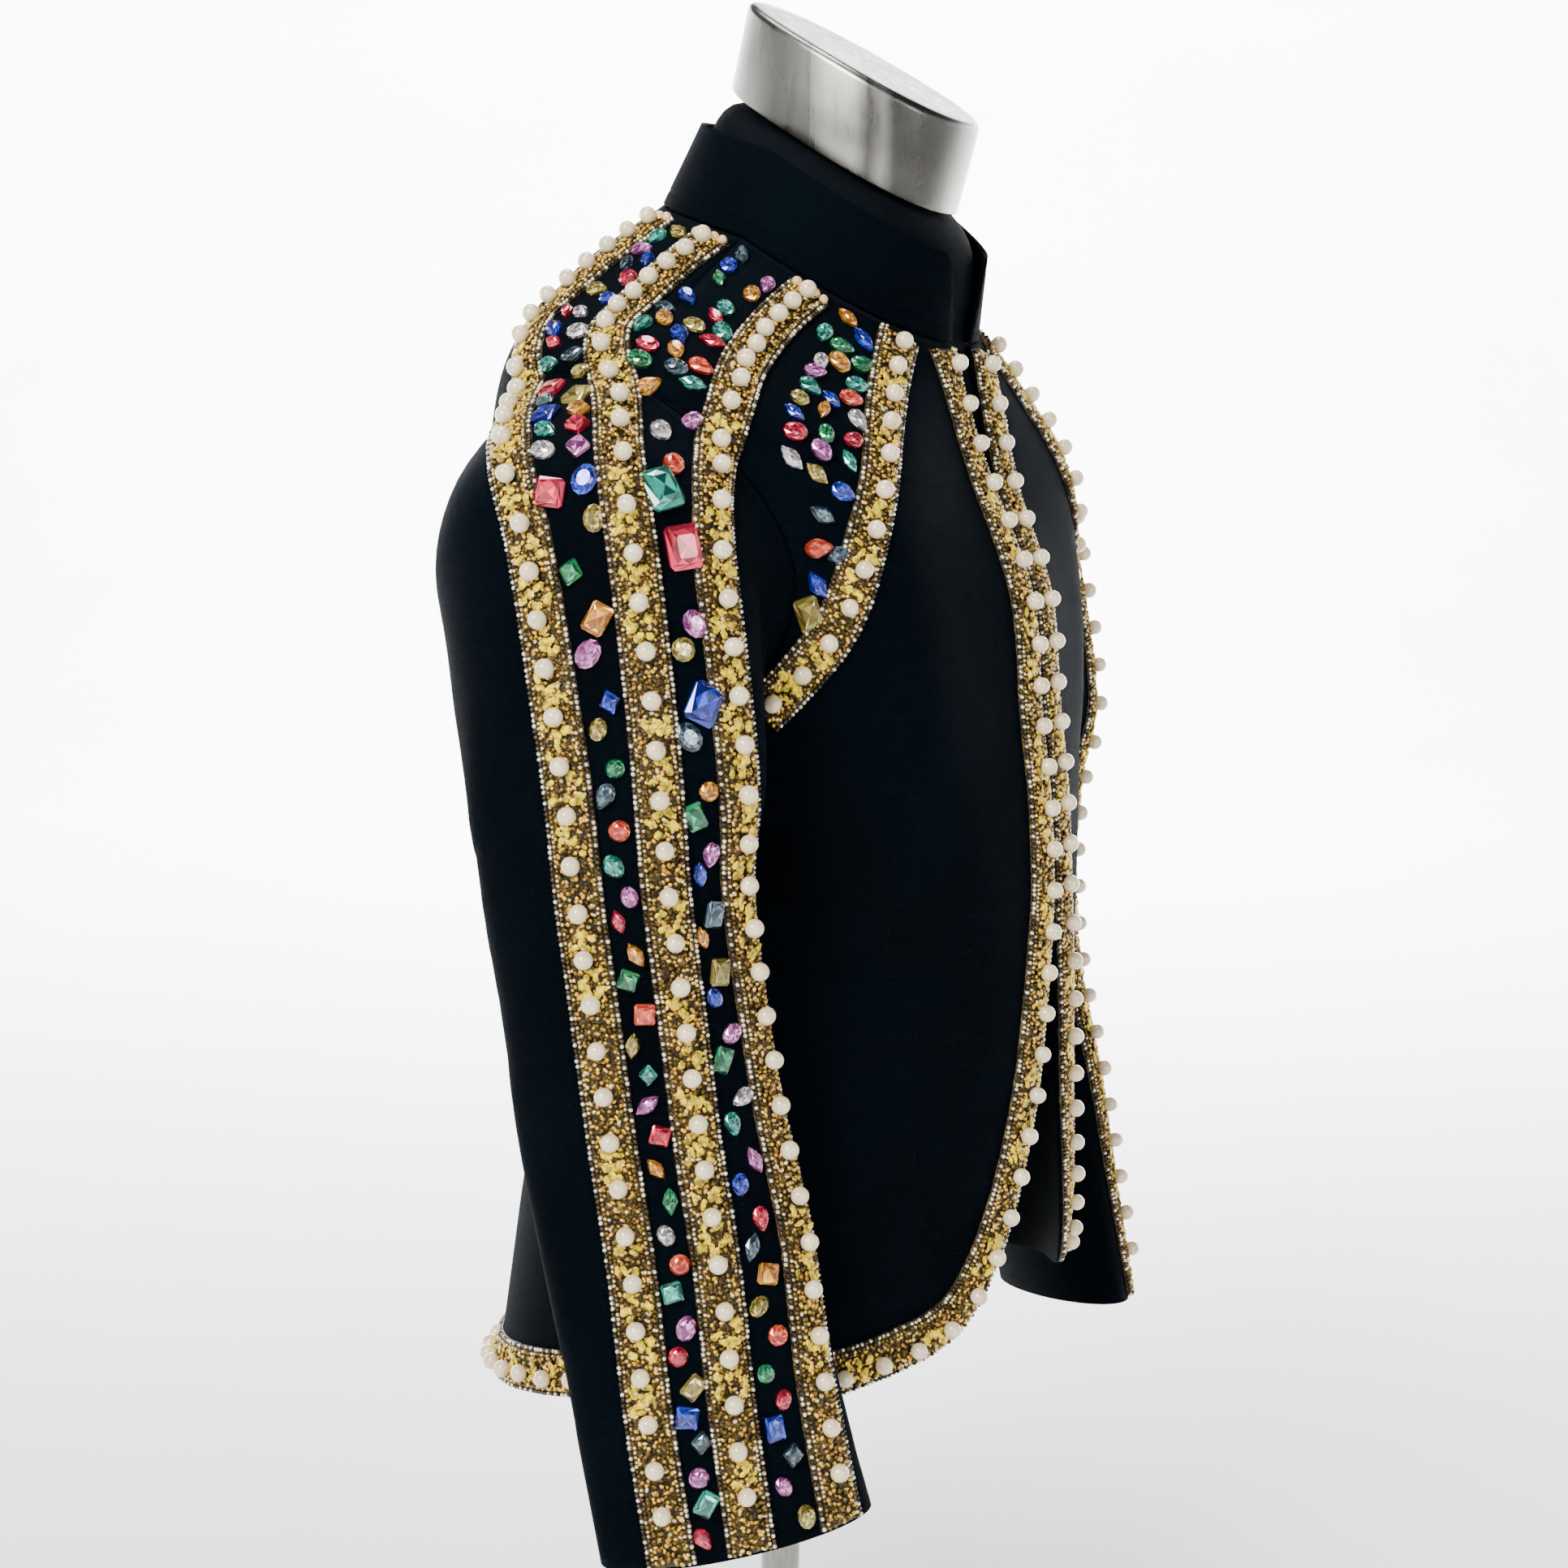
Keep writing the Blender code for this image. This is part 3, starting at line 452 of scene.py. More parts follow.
def sleeve_point(around, along):
    """The right sleeve's outer surface: along is -1 at the armhole, 0 at the crown, then rows."""
    around, along = np.broadcast_arrays(np.asarray(around, float), np.asarray(along, float))
    start = armhole_point(around)
    inward = armhole_point(np.array([0.0, 90.0, 180.0, 270.0])).mean(axis=0) - start
    start = start + unit(inward) * SEAM_GAP
    crown = sleeve_ring(around, np.zeros_like(around))
    after = sleeve_ring(around, np.full_like(around, CROWN_STEP))
    end_slope = (after - crown) / CROWN_STEP
    reach = np.linalg.norm(crown - start, axis=-1, keepdims=True)
    end_slope *= np.minimum(1.0, reach / np.linalg.norm(end_slope, axis=-1, keepdims=True))
    start_slope = CAP_LEAVING * (crown - start) - (CAP_LEAVING - 1.0) * end_slope
    t = np.clip(along + 1.0, 0.0, 1.0)[..., None]
    cap = hermite(start, start_slope, crown, end_slope, t)
    lower = sleeve_ring(around, np.maximum(along, 0.0))
    return np.where((along < 0)[..., None], cap, lower)


def mirror(points):
    return np.asarray(points) * [-1.0, 1.0, 1.0]


# Cloth pieces, as grids of points


def panel_levels(lower):
    """Levels from the hem to the neckline, with the armhole's own steps between."""
    armhole = ARMHOLE_LEVEL - ARMHOLE_REACH * np.cos(np.linspace(0, math.pi, ARMHOLE_STEPS + 1))
    above = np.linspace(ARMHOLE_LEVEL + ARMHOLE_REACH, NECKLINE_LEVEL, 25)[1:]
    return np.concatenate([lower, armhole, above])


def crease_relief(points, surface_name, strength):
    """How far each point of a grid is moved out by the creases of its surface."""
    relief = np.zeros(points.shape[:-1])
    for name, start, middle, end, height, width in CREASES:
        if name != surface_name:
            continue
        surface = body_point if name == "body" else sleeve_point
        line = smooth_rows({0: start, 1: middle, 2: end}, np.linspace(0, 2, 41))
        line = surface(line[:, 0], line[:, 1])
        apart = np.linalg.norm(points[..., None, :] - line, axis=-1)
        place = apart.argmin(axis=-1) / 40.0
        width = width * 0.001 * (0.75 + 0.5 * place)
        fade = np.sin(math.pi * np.clip(place, 0.0, 1.0)) ** 0.6
        relief += height * 0.001 * fade * np.exp(-((apart.min(axis=-1) / width) ** 2))
    return relief * strength


def edge_line(count):
    """Levels and turns of the front's edge: the cutaway curve below and the open neck above."""
    parts = []
    for levels, turns in ((EDGE_LEVELS, EDGE_TURNS), (NECK_LEVELS, NECK_TURNS)):
        rows = {k: pair for k, pair in enumerate(zip(levels, turns))}
        parts.append(smooth_rows(rows, np.linspace(0, len(rows) - 1, count)))
    line = np.concatenate(parts)
    return np.maximum.accumulate(line[:, 0]), np.maximum(line[:, 1], EDGE_TURN)


def front_grid(sizes):
    """The right front's outer and inner points."""
    edge_levels, edge_turns = edge_line(61)
    cutaway = edge_levels[edge_levels <= EDGE_LEVELS[-1]]
    levels = panel_levels(np.concatenate([cutaway, np.linspace(EDGE_LEVELS[-1], 4.0, 15)[1:-1]]))
    edge = -np.interp(levels, edge_levels, edge_turns)
    side = -90.0 + armhole_width((levels - ARMHOLE_LEVEL) / ARMHOLE_REACH, ARMHOLE_FRONT_TURN)
    turns = edge[:, None] + (side - edge)[:, None] * np.linspace(0.0, 1.0, FRONT_COLUMNS)
    outer = body_point(turns, levels[:, None])
    normal = surface_normal(body_point, turns, levels[:, None])
    outer = outer + normal * crease_relief(outer, "body", sizes.crease)[..., None]
    inner = outer - normal * sizes.cloth
    for grid in (outer, inner):
        grid[:, -1] += unit(grid[:, -2] - grid[:, -1]) * SEAM_GAP / 2
    return outer, inner


def back_grid(sizes):
    """The back's outer and inner points, from the right side seam round to the left."""
    levels = panel_levels(np.linspace(0.0, 4.0, 51)[:-1])
    start = 90.0 + armhole_width((levels - ARMHOLE_LEVEL) / ARMHOLE_REACH, ARMHOLE_BACK_TURN)
    turns = start[:, None] + (360.0 - 2 * start)[:, None] * np.linspace(0.0, 1.0, BACK_COLUMNS)
    signed = np.where(turns > 180.0, turns - 360.0, turns)
    outer = body_point(signed, levels[:, None])
    middle = np.abs(signed) > 179.5
    beside = np.where(middle, np.sign(signed) * 179.0, signed)
    normal = surface_normal(body_point, beside, levels[:, None])
    normal[middle, 0] = 0.0
    normal = unit(normal)
    right_side = outer * np.where(outer[..., :1] > 0, [-1.0, 1.0, 1.0], [1.0, 1.0, 1.0])
    outer = outer + normal * crease_relief(right_side, "body", sizes.crease)[..., None]
    inner = outer - normal * sizes.cloth
    for grid in (outer, inner):
        grid[:, 0] += unit(grid[:, 1] - grid[:, 0]) * SEAM_GAP / 2
        grid[:, -1] += unit(grid[:, -2] - grid[:, -1]) * SEAM_GAP / 2
    return outer, inner


def sleeve_grid(sizes):
    """The right sleeve's outer and inner points, rows running from armhole to cuff."""
    around = np.arange(0, 360, 180 / ARMHOLE_STEPS)
    sections = len(SLEEVE_ROWS) - 1
    cap = np.linspace(-1, 0, SLEEVE_CAP_ROWS + 1)[:-1]
    along = np.concatenate([cap, np.linspace(0, sections, sections * SLEEVE_ROWS_EACH + 1)])
    outer = sleeve_point(around[None, :], along[:, None])
    across = np.roll(outer, -1, axis=1) - np.roll(outer, 1, axis=1)
    normal = unit(np.cross(np.gradient(outer, axis=0), across))
    seam = np.clip((along + 1.0) / 0.25, 0.0, 1.0)[:, None]
    outer = outer + normal * (crease_relief(outer, "sleeve", sizes.crease) * seam)[..., None]
    return outer, outer - normal * sizes.cloth


def collar_grid(sizes):
    """The collar's outer and inner points, from one front end round the back to the other."""
    ends = [math.degrees(math.asin((x / side) ** (1 / SQUARENESS))) for x, side in COLLAR_ENDS]
    foot = [0.0, 0.03, 0.08, 0.12, COLLAR_SEAM - 0.02, COLLAR_SEAM, COLLAR_SEAM + 0.02]
    heights = np.concatenate([foot, np.linspace(0.21, 1.0, 17)])
    grids = [[], []]
    for height in heights:
        start = ends[0] + (ends[1] - ends[0]) * height
        corner = max(height - COLLAR_CORNER_FROM, 0.0) / (1.0 - COLLAR_CORNER_FROM)
        start += COLLAR_CORNER_TURN * corner**2.4
        turns = start + (360.0 - 2 * start) * np.linspace(0.0, 1.0, COLLAR_COLUMNS)
        signed = np.where(turns > 180.0, turns - 360.0, turns)
        normal = surface_normal(collar_point, np.clip(signed, -179, 179), height, 0.5, 0.05)
        wave = 0.0005 * np.sin(np.radians(turns) * 5.0 + 1.0) * height * (1 - 0.3 * height)
        groove = -COLLAR_GROOVE if height == COLLAR_SEAM else 0.0
        outer = collar_point(signed, height) + normal * (wave + groove)[:, None]
        grids[0].append(outer)
        grids[1].append(outer - normal * sizes.collar_cloth)
    return np.array(grids[0]), np.array(grids[1])


# Meshes


class Batch:
    """Points and triangles gathered for one object, with a material for each triangle."""

    def __init__(self):
        self.points, self.triangles, self.slots, self.smooth, self.sparks = [], [], [], [], []
        self.count = 0

    def add(self, points, triangles, slot=0, smooth=True, sparks=None):
        triangles = np.asarray(triangles)
        self.points.append(np.asarray(points, float))
        self.triangles.append(triangles + self.count)
        self.slots.append(np.broadcast_to(slot, len(triangles)).copy())
        self.smooth.append(np.full(len(triangles), smooth))
        self.sparks.append(np.zeros(len(triangles)) if sparks is None else sparks)
        self.count += len(points)

    def scatter(self, shape, places, axes, sizes, slots, smooth=True):
        """Copies of a small shape: axes holds three directions a copy, sizes three lengths."""
        points, triangles = shape
        count = len(places)
        if not count:
            return
        moved = np.einsum("nij,kj->nki", axes.transpose(0, 2, 1) * sizes[:, None, :], points)
        moved = moved + places[:, None, :]
        faces = triangles[None] + (np.arange(count) * len(points))[:, None, None]
        self.add(moved.reshape(-1, 3), faces.reshape(-1, 3), np.repeat(slots, len(triangles)), smooth)

    def mirror(self):
        """Turns the whole batch over to the other side of the jacket."""
        self.points = [mirror(points) for points in self.points]
        self.triangles = [faces[:, ::-1] for faces in self.triangles]

    def build(self, name, materials, sparkle=False):
        points, triangles = np.concatenate(self.points), np.concatenate(self.triangles)
        mesh = bpy.data.meshes.new(name)
        mesh.vertices.add(len(points))
        mesh.vertices.foreach_set("co", points.astype(np.float32).ravel())
        mesh.loops.add(triangles.size)
        mesh.loops.foreach_set("vertex_index", triangles.astype(np.int32).ravel())
        mesh.polygons.add(len(triangles))
        mesh.polygons.foreach_set("loop_start", np.arange(0, triangles.size, 3, dtype=np.int32))
        mesh.polygons.foreach_set("material_index", np.concatenate(self.slots).astype(np.int32))
        mesh.polygons.foreach_set("use_smooth", np.concatenate(self.smooth))
        if sparkle:
            layer = mesh.color_attributes.new("spark", "FLOAT_COLOR", "CORNER")
            values = np.repeat(np.concatenate(self.sparks), 3)[:, None] * np.ones(4)
            layer.data.foreach_set("color", values.astype(np.float32).ravel())
        mesh.update(calc_edges=True)
        mesh.validate()
        for material in materials:
            mesh.materials.append(material)
        piece = bpy.data.objects.new(name, mesh)
        bpy.context.scene.collection.objects.link(piece)
        return piece


def grid_faces(rows, columns, wrap=False, start=0):
    """Two triangles for each cell of a grid of points."""
    i, j = np.meshgrid(np.arange(rows - 1), np.arange(columns if wrap else columns - 1), indexing="ij")
    k = (j + 1) % columns
    a, b, c, d = i * columns + j, i * columns + k, (i + 1) * columns + k, (i + 1) * columns + j
    faces = np.stack([np.stack([a, b, c], -1), np.stack([a, c, d], -1)], axis=-2)
    return faces.reshape(-1, 3) + start


def shell(outer, inner, wrap=False):
    """A closed wall between two grids, its faces turned out."""
    rows, columns = outer.shape[:2]
    count = rows * columns
    points = np.concatenate([outer.reshape(-1, 3), inner.reshape(-1, 3)])
    faces = [grid_faces(rows, columns, wrap), grid_faces(rows, columns, wrap, count)[:, ::-1]]
    top = list(range(columns))
    bottom = [(rows - 1) * columns + j for j in reversed(range(columns))]
    if wrap:
        loops = [top, bottom]
    else:
        right = [i * columns + columns - 1 for i in range(1, rows - 1)]
        left = [i * columns for i in reversed(range(1, rows - 1))]
        loops = [top + right + bottom + left]
    for loop in loops:
        a, b = np.array(loop), np.array(loop[1:] + loop[:1])
        faces += [np.stack([b, a, a + count], -1), np.stack([b, a + count, b + count], -1)]
    return points, turned_outward(points, np.concatenate(faces))


def turned_outward(points, faces):
    """The faces, reversed if the body they close has a negative volume."""
    p = points[faces]
    volume = np.einsum("ij,ij->i", p[:, 0], np.cross(p[:, 1], p[:, 2])).sum()
    return faces if volume > 0 else faces[:, ::-1]


def stack(rings):
    """A closed body through rings of points, with a fan at each end."""
    rows, columns = rings.shape[:2]
    points = np.concatenate([rings.reshape(-1, 3), [rings[0].mean(axis=0)], [rings[-1].mean(axis=0)]])
    j = np.arange(columns)
    k = (j + 1) % columns
    low, high = np.full(columns, rows * columns), np.full(columns, rows * columns + 1)
    last = (rows - 1) * columns
    ends = [np.stack([low, k, j], -1), np.stack([high, last + j, last + k], -1)]
    return points, turned_outward(points, np.concatenate([grid_faces(rows, columns, True), *ends]))


def bead_shape():
    """A ball of twenty triangles."""
    p = (1 + math.sqrt(5)) / 2
    points = [(-1, p, 0), (1, p, 0), (-1, -p, 0), (1, -p, 0), (0, -1, p), (0, 1, p), (0, -1, -p), (0, 1, -p)]
    points += [(p, 0, -1), (p, 0, 1), (-p, 0, -1), (-p, 0, 1)]
    faces = [(0, 11, 5), (0, 5, 1), (0, 1, 7), (0, 7, 10), (0, 10, 11), (1, 5, 9), (5, 11, 4)]
    faces += [(11, 10, 2), (10, 7, 6), (7, 1, 8), (3, 9, 4), (3, 4, 2), (3, 2, 6), (3, 6, 8), (3, 8, 9)]
    faces += [(4, 9, 5), (2, 4, 11), (6, 2, 10), (8, 6, 7), (9, 8, 1)]
    return unit(np.array(points, float)), np.array(faces)


def pearl_shape(sides=16, rings=9):
    """A round pearl."""
    height = np.linspace(-math.pi / 2, math.pi / 2, rings + 2)[1:-1]
    angle = np.linspace(0, 2 * math.pi, sides + 1)[:-1]
    x = np.cos(height)[:, None] * np.cos(angle)
    y = np.cos(height)[:, None] * np.sin(angle)
    points = np.stack([x, y, np.broadcast_to(np.sin(height)[:, None], x.shape)], -1)
    body, faces = stack(points)
    body[-2:] = [(0, 0, -1), (0, 0, 1)]
    return body, faces


def ride(piece, *nodes, slot):
    """The piece goes with the part's one body and stands for its solids."""
    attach(piece, "root")
    if nodes:
        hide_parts(*nodes)
    return piece


# Materials


class Look:
    """A Principled material, and short ways to add and join its nodes."""

    def __init__(self, name, roughness=0.5, metallic=0.0, **sockets):
        self.material = bpy.data.materials.new(name)
        self.material.use_nodes = True
        self.nodes, self.links = self.material.node_tree.nodes, self.material.node_tree.links
        self.shader = self.nodes["Principled BSDF"]
        self.shader.inputs["Roughness"].default_value = roughness
        self.shader.inputs["Metallic"].default_value = metallic
        for key, value in sockets.items():
            self.shader.inputs[key.replace("_", " ")].default_value = value

    def add(self, kind, vector=None, **sockets):
        """A new node, with values on its sockets and a place on its vector."""
        node = self.nodes.new(kind)
        for key, value in sockets.items():
            node.inputs[key].default_value = value
        if vector:
            self.links.new(vector, node.inputs["Vector"])
        return node

    def place(self, scale=(1, 1, 1)):
        """The point on the piece, in metres, stretched along its axes."""
        point = self.add("ShaderNodeTexCoord").outputs["Object"]
        return self.add("ShaderNodeMapping", point, Scale=scale).outputs["Vector"]

    def noise(self, vector, scale, detail=3.0, roughness=0.55):
        texture = self.add("ShaderNodeTexNoise", vector, Scale=scale, Detail=detail, Roughness=roughness)
        return texture.outputs["Fac"]

    def vector_maths(self, operation, vector, constant):
        node = self.nodes.new("ShaderNodeVectorMath")
        node.operation = operation
        node.inputs[1].default_value = constant
        self.links.new(vector, node.inputs[0])
        return node.outputs

    def maths(self, operation, *values, clamp=False):
        node = self.nodes.new("ShaderNodeMath")
        node.operation = operation
        node.use_clamp = clamp
        for socket, value in zip(node.inputs, values):
            if isinstance(value, (int, float)):
                socket.default_value = value
            else:
                self.links.new(value, socket)
        return node.outputs["Value"]

    def ramp(self, value, stops):
        """Colours along a value, from (position, colour) pairs."""
        band = self.nodes.new("ShaderNodeValToRGB")
        while len(band.color_ramp.elements) < len(stops):
            band.color_ramp.elements.new(0.5)
        for element, (position, colour) in zip(band.color_ramp.elements, stops):
            element.position = position
            element.color = (*colour, 1.0)
        self.links.new(value, band.inputs["Fac"])
        return band.outputs["Color"]

    def grey_ramp(self, value, low, high):
        return self.ramp(value, [(0.3, (low,) * 3), (0.7, (high,) * 3)])

    def paint(self, value, stops):
        """The base colour, along a value."""
        self.links.new(self.ramp(value, stops), self.shader.inputs["Base Color"])

    def polish(self, value, low, high):
        """The roughness, between two amounts along a value."""
        self.links.new(self.grey_ramp(value, low, high), self.shader.inputs["Roughness"])

    def bump(self, height, strength, distance):
        node = self.add("ShaderNodeBump", Strength=strength, Distance=distance)
        self.links.new(height, node.inputs["Height"])
        self.links.new(node.outputs["Normal"], self.shader.inputs["Normal"])


def tone(colour, factor):
    return tuple(min(c * factor, 1.0) for c in colour)


def seam_line_value(look, place, first, second):
    """1 on a sewn line between two stations of the fronts, and 0 away from it."""
    a, b = body_point(*map(float, first)), body_point(*map(float, second))
    middle = (np.array(first) + np.array(second)) / 2
    out = surface_normal(body_point, middle[0], middle[1])
    side = unit(np.cross(b - a, out))
    axis = unit(b - a)
    parts = look.add("ShaderNodeSeparateXYZ", place).outputs
    joined = look.nodes.new("ShaderNodeCombineXYZ")
    mirrored = look.maths("MULTIPLY", look.maths("ABSOLUTE", parts["X"]), -1.0)
    for letter, value in zip("XYZ", (mirrored, parts["Y"], parts["Z"])):
        look.links.new(value, joined.inputs[letter])

    def along(direction):
        constant = tuple(float(v) for v in direction)
        return look.vector_maths("DOT_PRODUCT", joined.outputs["Vector"], constant)["Value"]

    off = look.maths("ABSOLUTE", look.maths("SUBTRACT", along(side), float(side @ a)))
    near = look.maths("SUBTRACT", 1.0, look.maths("DIVIDE", off, SEAM_LINE_HALF_WIDTH), clamp=True)
    centre = look.maths("SUBTRACT", along(axis), float(axis @ (a + b) / 2))
    reach = float(np.linalg.norm(b - a)) / 2
    beyond = look.maths("SUBTRACT", reach, look.maths("ABSOLUTE", centre))
    inside = look.maths("MULTIPLY", beyond, 300.0, clamp=True)
    ahead = look.maths("MULTIPLY", parts["Y"], -60.0, clamp=True)
    return look.maths("MULTIPLY", look.maths("MULTIPLY", near, inside), ahead)


def cloth_material(colour, name="jacket_wool", seams=True):
    """Fine black wool: a twill weave, a slight nap and a cool soft sheen."""
    look = Look(name, 0.82, Specular_IOR_Level=0.025, Sheen_Weight=0.008, Sheen_Roughness=0.40)
    look.shader.inputs["Sheen Tint"].default_value = (0.42, 0.60, 0.86, 1.0)
    place = look.place()
    look.paint(look.noise(place, 9.0, 4.0), [(0.35, tone(colour, 0.75)), (0.65, tone(colour, 1.35))])
    weave = look.add("ShaderNodeTexWave", place, Scale=620.0, Distortion=2.0, Detail=1.0)
    weave.bands_direction = "DIAGONAL"
    nap = look.noise(place, 900.0, 2.0)
    height = look.maths("ADD", weave.outputs["Fac"], look.maths("MULTIPLY", nap, 0.8))
    for first, second in SEAM_LINES if seams else ():
        line = seam_line_value(look, place, first, second)
        height = look.maths("SUBTRACT", height, look.maths("MULTIPLY", line, 6.0))
    look.bump(height, 0.35, 0.00025)
    look.polish(nap, 0.74, 0.92)
    return look.material


def metal_material(name, colour, roughness, stretch, streak_scale):
    """Brushed metal, its fine streaks along one direction."""
    look = Look(name, roughness, 1.0)
    streaks = look.noise(look.place(stretch), streak_scale, 5.0, 0.7)
    stains = look.noise(look.place(), 14.0, 3.0)
    mixed = look.maths("ADD", look.maths("MULTIPLY", streaks, 0.6), look.maths("MULTIPLY", stains, 0.4))
    look.paint(mixed, [(0.35, tone(colour, 0.82)), (0.65, tone(colour, 1.12))])
    look.polish(streaks, roughness - 0.08, roughness + 0.12)
    look.bump(streaks, 0.12, 0.0003)
    return look.material


def cap_material(colour):
    """Satin metal with painted reflections: soft bright and dim bands painted around the cap, under fine
    turning marks.
    """
    look = Look("satin_cap", 0.28, 1.0)
    place = look.place()
    centred = look.vector_maths("SUBTRACT", place, CAP_CENTRE)["Vector"]
    around = look.add("ShaderNodeTexGradient", centred)
    around.gradient_type = "RADIAL"
    wander = look.maths("MULTIPLY", look.noise(place, 30.0, 3.0), 0.03)
    at = look.maths("ADD", around.outputs["Fac"], wander)
    # These bands are painted reflections fixed round the cap's axis, not the metal's own colour.
    bands = look.ramp(at, [(position, tone(colour, value)) for position, value in CAP_PAINTED_REFLECTIONS])
    marks = look.noise(look.place((1.0, 1.0, 0.12)), 240.0, 4.0, 0.6)
    mixed = look.nodes.new("ShaderNodeMix")
    mixed.data_type, mixed.blend_type = "RGBA", "MULTIPLY"
    mixed.inputs["Factor"].default_value = 0.35
    look.links.new(bands, mixed.inputs["A"])
    look.links.new(look.grey_ramp(marks, 0.75, 1.0), mixed.inputs["B"])
    look.links.new(mixed.outputs["Result"], look.shader.inputs["Base Color"])
    look.polish(marks, 0.24, 0.36)
    return look.material


def bead_look(name, dark, light, roughness, metallic, scale=330.0, **sockets):
    """Small beads whose tone changes from one to the next."""
    look = Look(name, roughness, metallic, **sockets)
    place = look.place()
    look.paint(look.noise(place, scale, 2.0, 0.6), [(0.34, dark), (0.66, light)])
    look.polish(look.noise(place, scale * 0.6, 1.0), max(roughness - 0.08, 0.03), roughness + 0.10)
    return look


def foil_material(colour):
    """Crumpled bright gold foil."""
    look = bead_look("yellow_foil", tone(colour, 0.20), tone(colour, 1.0), 0.34, 0.35)
    look.bump(look.noise(look.place(), 620.0, 4.0, 0.65), 0.8, 0.0008)
    return look.material


def ground_material(colour):
    """The bands' ground: gold thread and tiny bullion over brown cloth, painted very dark so that it also
    gives painted shade in the crevices between the beads.
    """
    look = Look("gold_thread_ground", 0.42, 0.55)
    place = look.place()
    grain = look.add("ShaderNodeTexVoronoi", place, Scale=620.0).outputs["Distance"]
    patch = look.noise(place, 120.0, 4.0, 0.6)
    # The darkest colours are partly the brown cloth's own colour and partly painted shade in the crevices
    # between the beads and foil.
    stops = [(0.26, tone(colour, 0.02)), (0.48, tone(colour, 0.12)), (0.70, tone(colour, 0.60))]
    look.paint(look.maths("SUBTRACT", patch, look.maths("MULTIPLY", grain, 0.35)), stops)
    look.bump(grain, 0.9, -0.0008)
    return look.material


def pearl_material(name, colour):
    """Cream pearl with a thin rosy lustre."""
    coat = {"Coat_Weight": 1.0, "Coat_Roughness": 0.08, "Specular_IOR_Level": 0.6, "Sheen_Weight": 0.08}
    look = Look(name, 0.24, **coat)
    place = look.place()
    warm = (colour[0] * 0.80, colour[1] * 0.72, colour[2] * 0.58)
    stops = [(0.28, warm), (0.52, tone(colour, 0.92)), (0.74, tone(colour, 1.10))]
    look.paint(look.noise(place, 160.0, 3.0), stops)
    look.bump(look.noise(place, 420.0, 2.0), 0.12, 0.0004)
    return look.material


def stone_material(name, deep, light):
    """A cut stone backed with foil: each facet has its own painted reflection, from dark to bright, mottled
    inside.
    """
    coat = {"Coat_Weight": 0.8, "Coat_Roughness": 0.03, "Specular_IOR_Level": 0.6}
    look = Look("stone_" + name, 0.13, 0.45, **coat)
    facet = look.nodes.new("ShaderNodeVertexColor")
    facet.layer_name = "spark"
    parts = look.nodes.new("ShaderNodeSeparateColor")
    look.links.new(facet.outputs["Color"], parts.inputs["Color"])
    mottle = look.maths("MULTIPLY", look.noise(look.place(), 420.0, 3.0, 0.65), 0.36)
    # The facet's painted reflection, read from the spark layer, sets most of the stone's colour.
    value = look.maths("ADD", mottle, look.maths("MULTIPLY", parts.outputs["Red"], 0.80))
    middle = tuple((a * 1.8 + b) / 2.8 for a, b in zip(deep, light))
    look.paint(value, [(0.20, deep), (0.55, middle), (0.88, light)])
    return look.material


# Cloth operators


CLOTH_SHEETS = {
    "front_right": ((0.30, 0.66), 0.123),
    "front_left": ((0.30, 0.66), 0.123),
    "back": ((0.56, 0.68), 0.290),
    "sleeve_right": ((0.44, 0.63), 0.183),
    "sleeve_left": ((0.44, 0.63), 0.183),
    "collar": ((0.53, 0.055), 0.0235),
}


def cloth_piece(name, points, faces, material):
    batch = Batch()
    batch.add(points, faces)
    piece = batch.build(name + "_cloth", [material])
    return ride(piece, name, slot="jacket_cloth")


def jacket_cloth():
    """The cloth's material, made once."""
    found = bpy.data.materials.get("jacket_wool")
    return found or cloth_material(tuple(bpy.context.scene.jacket_colours.cloth))


class JACKET_OT_body(bpy.types.Operator):
    """Makes the two fronts and the back"""

    bl_idname = "jacket.body"
    bl_label = "Fronts and back"

    def execute(self, context):
        sizes, material = context.scene.jacket_sizes, jacket_cloth()
        outer, inner = front_grid(sizes)
        cloth_piece("front_right", *shell(outer, inner), material)
        points, faces = shell(mirror(outer), mirror(inner))
        cloth_piece("front_left", points, faces, material)
        cloth_piece("back", *shell(*back_grid(sizes)), material)
        return {"FINISHED"}


class JACKET_OT_sleeves(bpy.types.Operator):
    """Makes the two sleeves, with their creases"""

    bl_idname = "jacket.sleeves"
    bl_label = "Sleeves"

    def execute(self, context):
        outer, inner = sleeve_grid(context.scene.jacket_sizes)
        cloth_piece("sleeve_right", *shell(outer, inner, wrap=True), jacket_cloth())
        cloth_piece("sleeve_left", *shell(mirror(outer), mirror(inner), wrap=True), jacket_cloth())
        return {"FINISHED"}


class JACKET_OT_collar(bpy.types.Operator):
    """Makes the stand collar with the sewn line along its foot"""

    bl_idname = "jacket.collar"
    bl_label = "Collar"

    def execute(self, context):
        cloth_piece("collar", *shell(*collar_grid(context.scene.jacket_sizes)), jacket_cloth())
        return {"FINISHED"}


# Beaded bands


def outer_tree(grids):
    """A search tree of some pieces' outer faces, all turned away from their inner ones."""
    points, faces, count = [], [], 0
    for outer, inner, wrap in grids:
        rows, columns = outer.shape[:2]
        flat, face = outer.reshape(-1, 3), grid_faces(rows, columns, wrap)
        a, b, c = (flat[face[:, k]] for k in range(3))
        away = (outer - inner).reshape(-1, 3)[face[:, 0]]
        if np.sum(np.cross(b - a, c - a) * away) < 0:
            face = face[:, ::-1]
        points.append(flat)
        faces.append(face + count)
        count += rows * columns
    return BVHTree.FromPolygons(np.concatenate(points).tolist(), np.concatenate(faces).tolist())


